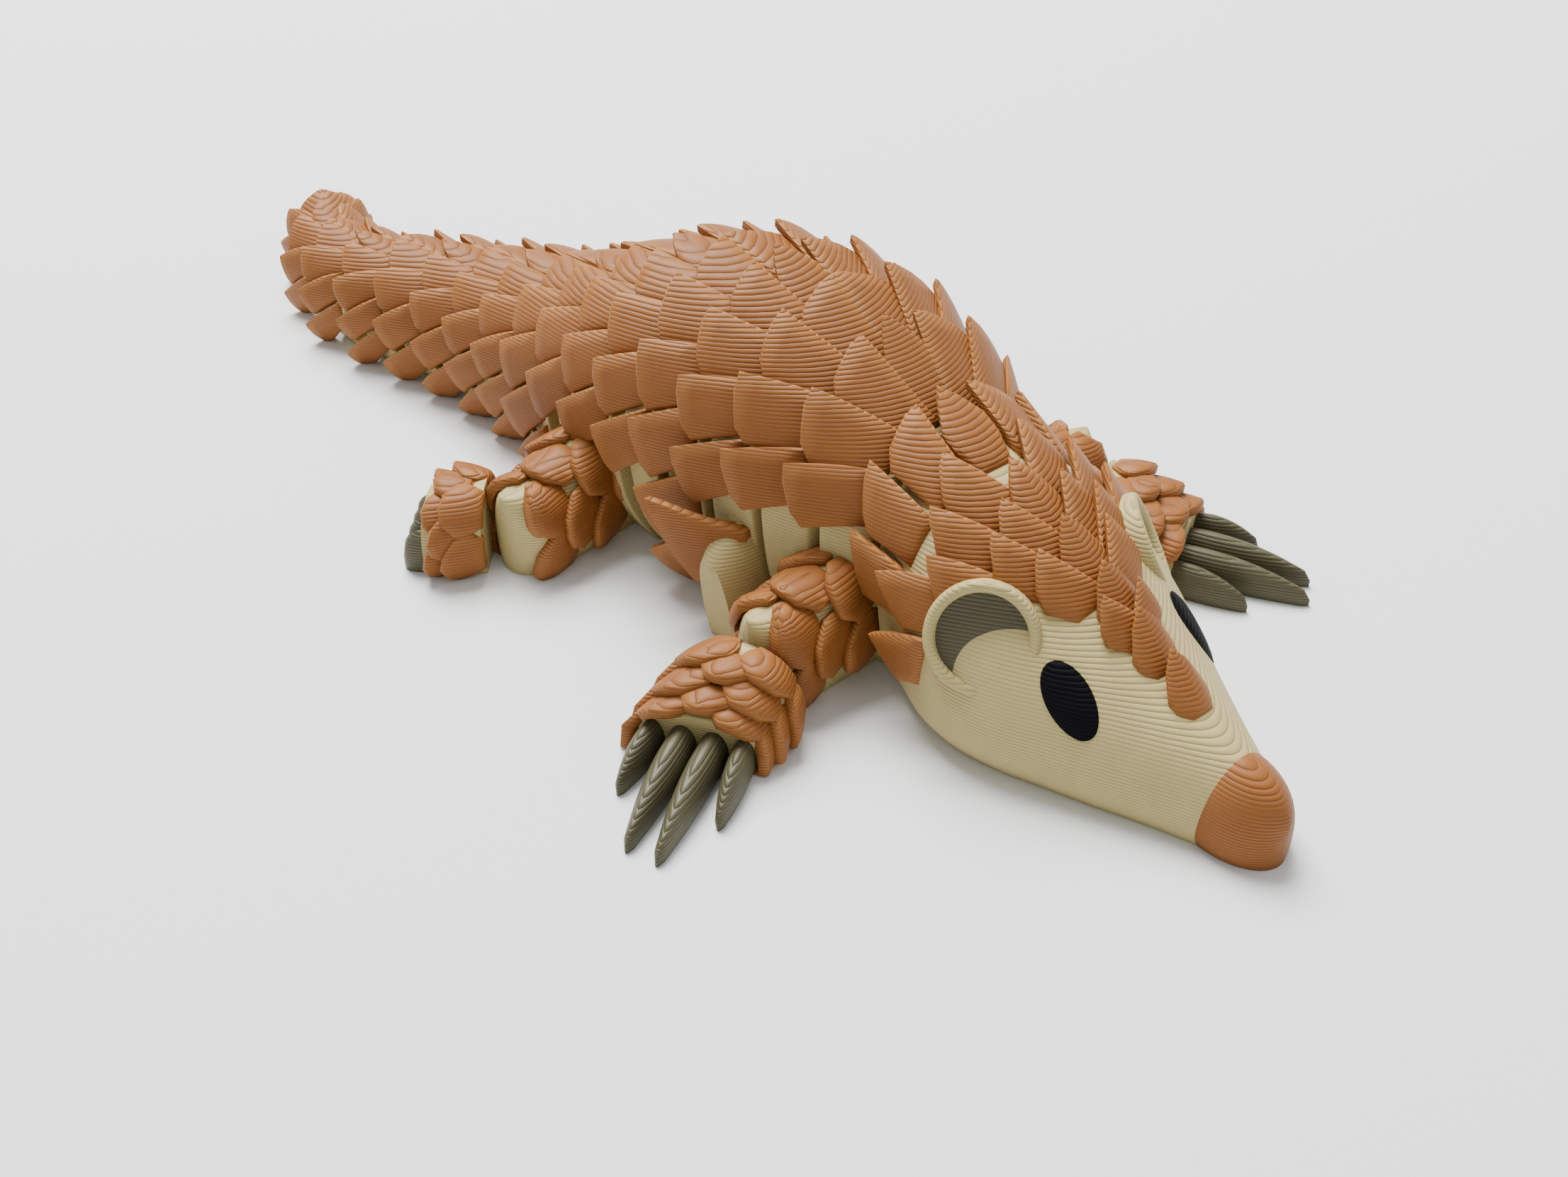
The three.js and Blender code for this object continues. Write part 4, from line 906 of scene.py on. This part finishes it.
class PANGOLIN_OT_rings(bpy.types.Operator):
    """Add the body rings from the neck to the tail, each a bare core under a tier of scales"""

    bl_idname = "pangolin.rings"
    bl_label = "Rings"

    def execute(self, context):
        for index, ring in enumerate(RINGS):
            name = ring[0]
            skin = ring_skin(index)
            place = ring_place(index)
            core, scales = Batch(), Batch()
            add_core(core, skin)
            add_neck(core, index)
            ring_tier(scales, skin, index)
            add_stubs(core, scales, name)
            if name == "torso_2":
                add_shoulders(core, scales, skin)
            cream = core.build(f"{name}_core", name, "cream_plastic", place)
            caramel = scales.build(f"{name}_scales", name, "caramel_plastic", place)
            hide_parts(name)
            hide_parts(name)
        return {"FINISHED"}


def add_stubs(core, scales, name):
    """Elbow or thigh stubs on both sides of a ring."""
    for _, hand, kind, _, _, _ in LIMBS:
        stub = STUBS[kind]
        if stub["ring"] != name:
            continue
        skin = stub_skin(kind)
        part, plates = Batch(), Batch()
        straight = np.linspace(0, skin.travel[2], STUB_LOOPS)
        distance = np.concatenate([straight, skin.travel[3:]])
        part.add(*closed_loops(skin.loops(distance, 0.0, LIMB_STEPS)))
        for front, arcs, width, length in stub["plates"]:
            add_plates(plates, skin, front, arcs, width, length, STUB_RISE)
        for source, goal in ((part, core), (plates, scales)):
            points = np.vstack(source.verts)
            points = turned(points, -90 * hand, stub["ahead"], hand * stub["out"])
            goal.add(points, source.faces, np.concatenate(source.edge))


def add_shoulders(core, scales, skin):
    """Bulges on both flanks of a ring, each under one large standing scale."""
    bulge = Skin([row(-out, half, high) for out, half, high in SHOULDER])
    for hand in (-1, 1):
        verts, faces = closed_loops(bulge.even_loops(*SHOULDER_LOOPS))
        verts = turned(verts, -90 * hand)
        verts[:, 0] -= verts[:, 2] * math.tan(math.radians(SEAM_LEAN))
        core.add(verts, faces)
        arc = skin.arc_at_height(SHOULDER_BACK, SHOULDER_UP)
        add_scale(scales, skin, "side", SHOULDER_BACK, hand, arc, *SHOULDER_SCALE)


def head_row(x, half, high, lean, power):
    """Row of sizes with the head's own waist and belly."""
    return row(x, half, high, lean=lean, power=power, widest=HEAD_WIDEST, base=HEAD_BASE)


def head_skin():
    """Skin of the head from the snout back to the neck seam."""
    return Skin([head_row(*section) for section in HEAD_SECTIONS])


HEAD_PLACE = at_place(*NECK_SEAM, HEAD_HEADING)


def nose_skin():
    """Dome that carries the snout's section on to the tip: half width and height fall as
    the quarter of an ellipse."""
    x, half, high, lean, power = HEAD_SECTIONS[0]
    rows = [(x - NOSE_BACK, half - NOSE_IN, high - NOSE_IN), (x, half, high)]
    for turn in np.linspace(0, math.pi / 2, NOSE_STEPS)[1:]:
        fall = max(math.cos(turn), NOSE_TIP)
        drop = NOSE_DROP * (1 - fall)
        rows.append((x + NOSE_LENGTH * math.sin(turn), half * fall, high * (1 - drop)))
    return Skin([head_row(*size, lean, power) for size in reversed(rows)])


def ear_place(side):
    """Centre of an ear's dish and the direction it faces."""
    mirror = np.array([1, side, 1])
    facing, centre = mirror * EAR_FACING, mirror * EAR_PLACE
    return centre + EAR_OUT * facing / np.linalg.norm(facing), facing


def basis(facing):
    """Two directions square to a facing direction, and that direction, as unit rows."""
    way = np.array(facing, float)
    way /= np.linalg.norm(way)
    side = np.cross([0, 0, 1], way)
    side /= np.linalg.norm(side)
    return np.array([side, np.cross(way, side), way])


def lathe(profile, centre, facing):
    """A profile of radius and height spun about a facing direction through a centre."""
    profile = np.array(profile, float)
    angle = np.linspace(0, 2 * math.pi, SPUN_SIDES, endpoint=False)
    axes = basis(facing)
    circle = np.cos(angle)[:, None] * axes[0] + np.sin(angle)[:, None] * axes[1]
    loops = profile[:, 0, None, None] * circle[None] + profile[:, 1, None, None] * axes[2]
    return closed_loops(loops + np.array(centre))


def skin_button(skin, distance, around, radii, dome):
    """Oval button on a skin: a low dome, flat in the middle."""
    angle = np.linspace(0, 2 * math.pi, SPUN_SIDES, endpoint=False)
    shares = np.linspace(0.02, 1, EYE_RINGS)
    loops = [(share, dome * (1 - share**4) + EYE_RIM) for share in shares]
    loops += [(1, -EYE_SUNK), (0.02, -EYE_SUNK)]
    points = []
    for share, up in loops:
        back = distance + share * radii[0] * np.cos(angle)
        arc = around + share * radii[1] * np.sin(angle)
        points.append(skin.points(back, arc, np.full(SPUN_SIDES, up)))
    return closed_loops(np.array(points))


class PANGOLIN_OT_head(bpy.types.Operator):
    """Add the head: its bare skin with two ear dishes, and the scales of its crown"""

    bl_idname = "pangolin.head"
    bl_label = "Head"

    def execute(self, context):
        skin = head_skin()
        bare, plates = Batch(), Batch()
        distance = np.concatenate([[0.0], np.linspace(0.15, skin.length, HEAD_LOOPS)])
        bare.add(*closed_loops(skin.loops(distance, 0.0, HEAD_STEPS)))
        for side in (-1, 1):
            bare.add(*lathe(EAR_DISH, *ear_place(side)))
        front = HEAD_SECTIONS[0][0]
        for tip, arc, length, width in CROWN_SCALES:
            kind = "crown" if arc == 0 else "brow"
            size = (arc, length, width, CROWN_RISE, CROWN_SKEW)
            for side in sides(arc):
                add_scale(plates, skin, kind, front - tip - length, side, *size)
        length = NAPE_FROM + NAPE_PAST
        lengths, start = (length, length + NAPE_TOP_EXTRA), front - NAPE_FROM
        kinds = ("top", "side")
        add_tier(plates, skin, kinds, NAPE_COUNT, start, lengths, NAPE_RISES, NAPE_SHARE)
        cream = bare.build("head_skin", "head", "cream_plastic", HEAD_PLACE)
        crown = plates.build("crown_scales", "head", "caramel_plastic", HEAD_PLACE)
        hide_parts("head")
        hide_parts("head")
        return {"FINISHED"}


class PANGOLIN_OT_face(bpy.types.Operator):
    """Add the nose, the eyes and the dark linings of the ears"""

    bl_idname = "pangolin.face"
    bl_label = "Face"

    def execute(self, context):
        dome = nose_skin()
        nose = Batch()
        nose.add(*closed_loops(dome.loops(dome.travel, 0.0, NOSE_SIDE_STEPS)))
        piece = nose.build("nose_dome", "head", "caramel_plastic", HEAD_PLACE)
        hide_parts("nose")
        skin = head_skin()
        distance = np.array([HEAD_SECTIONS[0][0] - EYE_AT])
        arc = skin.arc_at_height(distance, EYE_UP)
        for side, label in ((-1, "right"), (1, "left")):
            eye = Batch()
            eye.add(*skin_button(skin, distance[0], side * arc, EYE_RADII, EYE_DOME))
            piece = eye.build(f"eye_{label}_lens", "head", "eye_black", HEAD_PLACE)
            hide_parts(f"eye_{label}")
            lining = Batch()
            lining.add(*lathe(EAR_LINING, *ear_place(side)))
            piece = lining.build(f"ear_{label}_lining", "head", "olive_plastic", HEAD_PLACE)
            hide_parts(f"ear_{label}")
        return {"FINISHED"}


def add_claws(limb, place):
    """Claws: sections that swell a little and then shrink to a blunt tip."""
    name, hand, _, _, reach, bend = limb
    turn = -hand * bend
    way = math.radians(turn)
    for number, (across, tip_across, length, half) in enumerate(FRONT_CLAWS, 1):
        rows = []
        shape = [(-CLAW_ROOT, 1.0, 0.9)]
        shape += [(share * length, wide, high) for share, wide, high in CLAW_SHAPE]
        for ahead, wide, high in shape:
            side = hand * (across + (tip_across - across) * max(ahead, 0) / length)
            x = -reach - ahead * math.cos(way) - side * math.sin(way)
            y = -ahead * math.sin(way) + side * math.cos(way)
            size = half * wide, CLAW_HEIGHT * high
            rows.append(row(x, *size, y=y, turn=turn, power=HORN_POWER))
        claw = Batch()
        claw.add(*closed_loops(Skin(rows).even_loops(*CLAW_LOOPS)))
        piece = claw.build(f"{name}_claw_{number}_horn", name, "olive_plastic", place)
        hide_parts(f"{name}_claw_{number}")


def add_toes(limb, place):
    """Toes: a row of short rounded lobes side by side."""
    name, _, _, _, reach, _ = limb
    toes = Batch()
    for i in range(TOE_COUNT):
        y = (i - (TOE_COUNT - 1) / 2) * TOE_SPACING
        rows = []
        for ahead, wide, high in TOE_SHAPE:
            size = TOE_HALF_WIDTH * wide, TOE_HEIGHT * high
            rows.append(row(-reach - ahead, *size, y=y, power=HORN_POWER))
        toes.add(*closed_loops(Skin(rows).even_loops(*TOE_LOOPS)))
    piece = toes.build(f"{name}_toes_lobes", name, "olive_plastic", place)
    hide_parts(f"{name}_toes")


class PANGOLIN_OT_limbs(bpy.types.Operator):
    """Add the paws and feet with their scales, claws and toes"""

    bl_idname = "pangolin.limbs"
    bl_label = "Limbs"

    def execute(self, context):
        for limb in LIMBS:
            name, hand, kind, _, reach, bend = limb
            place = limb_place(limb)
            rows = [
                row(-share * reach, half, high, turn=-hand * bend * share)
                for share, half, high in LIMB_ROWS[kind]
            ]
            skin = Skin(rows)
            bare, plates = Batch(), Batch()
            first = LIMB_ROWS[kind][0][0] * reach
            start = STUBS[kind]["rows"][-1][1] + LIMB_CLEARANCE - first
            loops = skin.loops(np.linspace(start, skin.length, LIMB_LOOPS), 0.0, LIMB_STEPS)
            bare.add(*closed_loops(loops))
            for share, arcs, width, length, rise in LIMB_PLATES[kind]:
                add_plates(plates, skin, share * reach - first, arcs, width, length, rise)
            skin_piece = bare.build(f"{name}_skin", name, "cream_plastic", place)
            scale_piece = plates.build(f"{name}_scales", name, "caramel_plastic", place)
            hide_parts(name)
            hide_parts(name)
            if kind == "front":
                add_claws(limb, place)
            else:
                add_toes(limb, place)
        return {"FINISHED"}


class PANGOLIN_OT_tail_tip(bpy.types.Operator):
    """Add the tail's tip behind the last joint"""

    bl_idname = "pangolin.tail_tip"
    bl_label = "Tail tip"

    def execute(self, context):
        half, high = SEAM_SIZES[-1]
        slope = math.tan(math.radians(RINGS[-1][4]))
        rows = [row(-SEAM_GAP / 2, half, high, lean=SEAM_LEAN, wedge=slope)]
        rows += [row(-back, wide, up, lean=SEAM_LEAN) for back, wide, up in TAIL_TIP]
        skin = Skin(rows)
        core, scales = Batch(), Batch()
        add_core(core, skin, rows=8)
        for count, front, length, rise in TAIL_TIP_TIERS:
            lengths, rises = (length, length + TAIL_TOP_EXTRA[0]), (rise, rise + TAIL_TOP_EXTRA[1])
            add_tier(scales, skin, ("top", "side"), count, front, lengths, rises)
        place = at_place(*TAIL_SEAM, TAIL_TIP_HEADING)
        cream = core.build("tail_tip_core", "tail_tip", "caramel_plastic", place)
        caramel = scales.build("tail_tip_scales", "tail_tip", "caramel_plastic", place)
        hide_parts("tail_tip")
        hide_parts("tail_tip")
        return {"FINISHED"}


class PANGOLIN_OT_studio(bpy.types.Operator):
    """Add the pale floor, the soft lights and the photograph's camera"""

    bl_idname = "pangolin.studio"
    bl_label = "Studio"

    def execute(self, context):
        scene = context.scene
        size = FLOOR_HALF
        mesh = bpy.data.meshes.new("Floor")
        corners = [(-size, -size, 0), (size, -size, 0), (size, size, 0), (-size, size, 0)]
        mesh.from_pydata(corners, [], [(0, 1, 2, 3)])
        floor = linked("Floor", mesh)
        paper = bpy.data.materials.new("Pale floor")
        paper.use_nodes = True
        shader = paper.node_tree.nodes["Principled BSDF"]
        shader.inputs["Base Color"].default_value = FLOOR_COLOUR
        shader.inputs["Roughness"].default_value = FLOOR_ROUGHNESS
        mesh.materials.append(paper)

        world = scene.world or bpy.data.worlds.new("Studio")
        scene.world = world
        world.use_nodes = True
        background = world.node_tree.nodes["Background"]
        background.inputs["Color"].default_value = WORLD_COLOUR
        background.inputs["Strength"].default_value = WORLD_STRENGTH

        for name, spot, width, power in LIGHTS:
            light = bpy.data.lights.new(name, "AREA")
            light.size = width
            light.energy = power
            lamp = linked(name, light)
            lamp.location = spot
            lamp.rotation_euler = (-Vector(spot)).to_track_quat("-Z", "Y").to_euler()

        view = bpy.data.cameras.new("Camera")
        view.sensor_width = SENSOR
        view.lens = FOCAL_PIXELS / PHOTO_WIDTH * SENSOR
        view.clip_start = 0.001
        camera = linked("Camera", view)
        camera.location = (SHIFT[0] * MM, SHIFT[1] * MM, CAMERA_HEIGHT * MM)
        camera.rotation_euler = (math.radians(CAMERA_PITCH), 0, 0)
        scene.camera = camera
        return {"FINISHED"}


STEPS = (
    PANGOLIN_OT_rings,
    PANGOLIN_OT_head,
    PANGOLIN_OT_face,
    PANGOLIN_OT_limbs,
    PANGOLIN_OT_tail_tip,
    PANGOLIN_OT_studio,
)


class PANGOLIN_PT_panel(bpy.types.Panel):
    """Buttons for the toy's pieces and its settings"""

    bl_label = "Pangolin toy"
    bl_idname = "PANGOLIN_PT_panel"
    bl_space_type = "VIEW_3D"
    bl_region_type = "UI"
    bl_category = "Pangolin"

    def draw(self, context):
        for step in STEPS:
            self.layout.operator(step.bl_idname)
        for group in (context.scene.pangolin_sizes, context.scene.pangolin_look):
            for name in group.__annotations__:
                self.layout.prop(group, name)


CLASSES = (PangolinSizes, PangolinLook, *STEPS, PANGOLIN_PT_panel)


def register():
    for cls in CLASSES:
        bpy.utils.register_class(cls)
    bpy.types.Scene.pangolin_sizes = bpy.props.PointerProperty(type=PangolinSizes)
    bpy.types.Scene.pangolin_look = bpy.props.PointerProperty(type=PangolinLook)


def unregister():
    del bpy.types.Scene.pangolin_look
    del bpy.types.Scene.pangolin_sizes
    for cls in reversed(CLASSES):
        bpy.utils.unregister_class(cls)


def main():
    register()
    bpy.ops.pangolin.rings()
    bpy.ops.pangolin.head()
    bpy.ops.pangolin.face()
    bpy.ops.pangolin.limbs()
    bpy.ops.pangolin.tail_tip()
    bpy.ops.pangolin.studio()


if __name__ == "__main__":
    main()
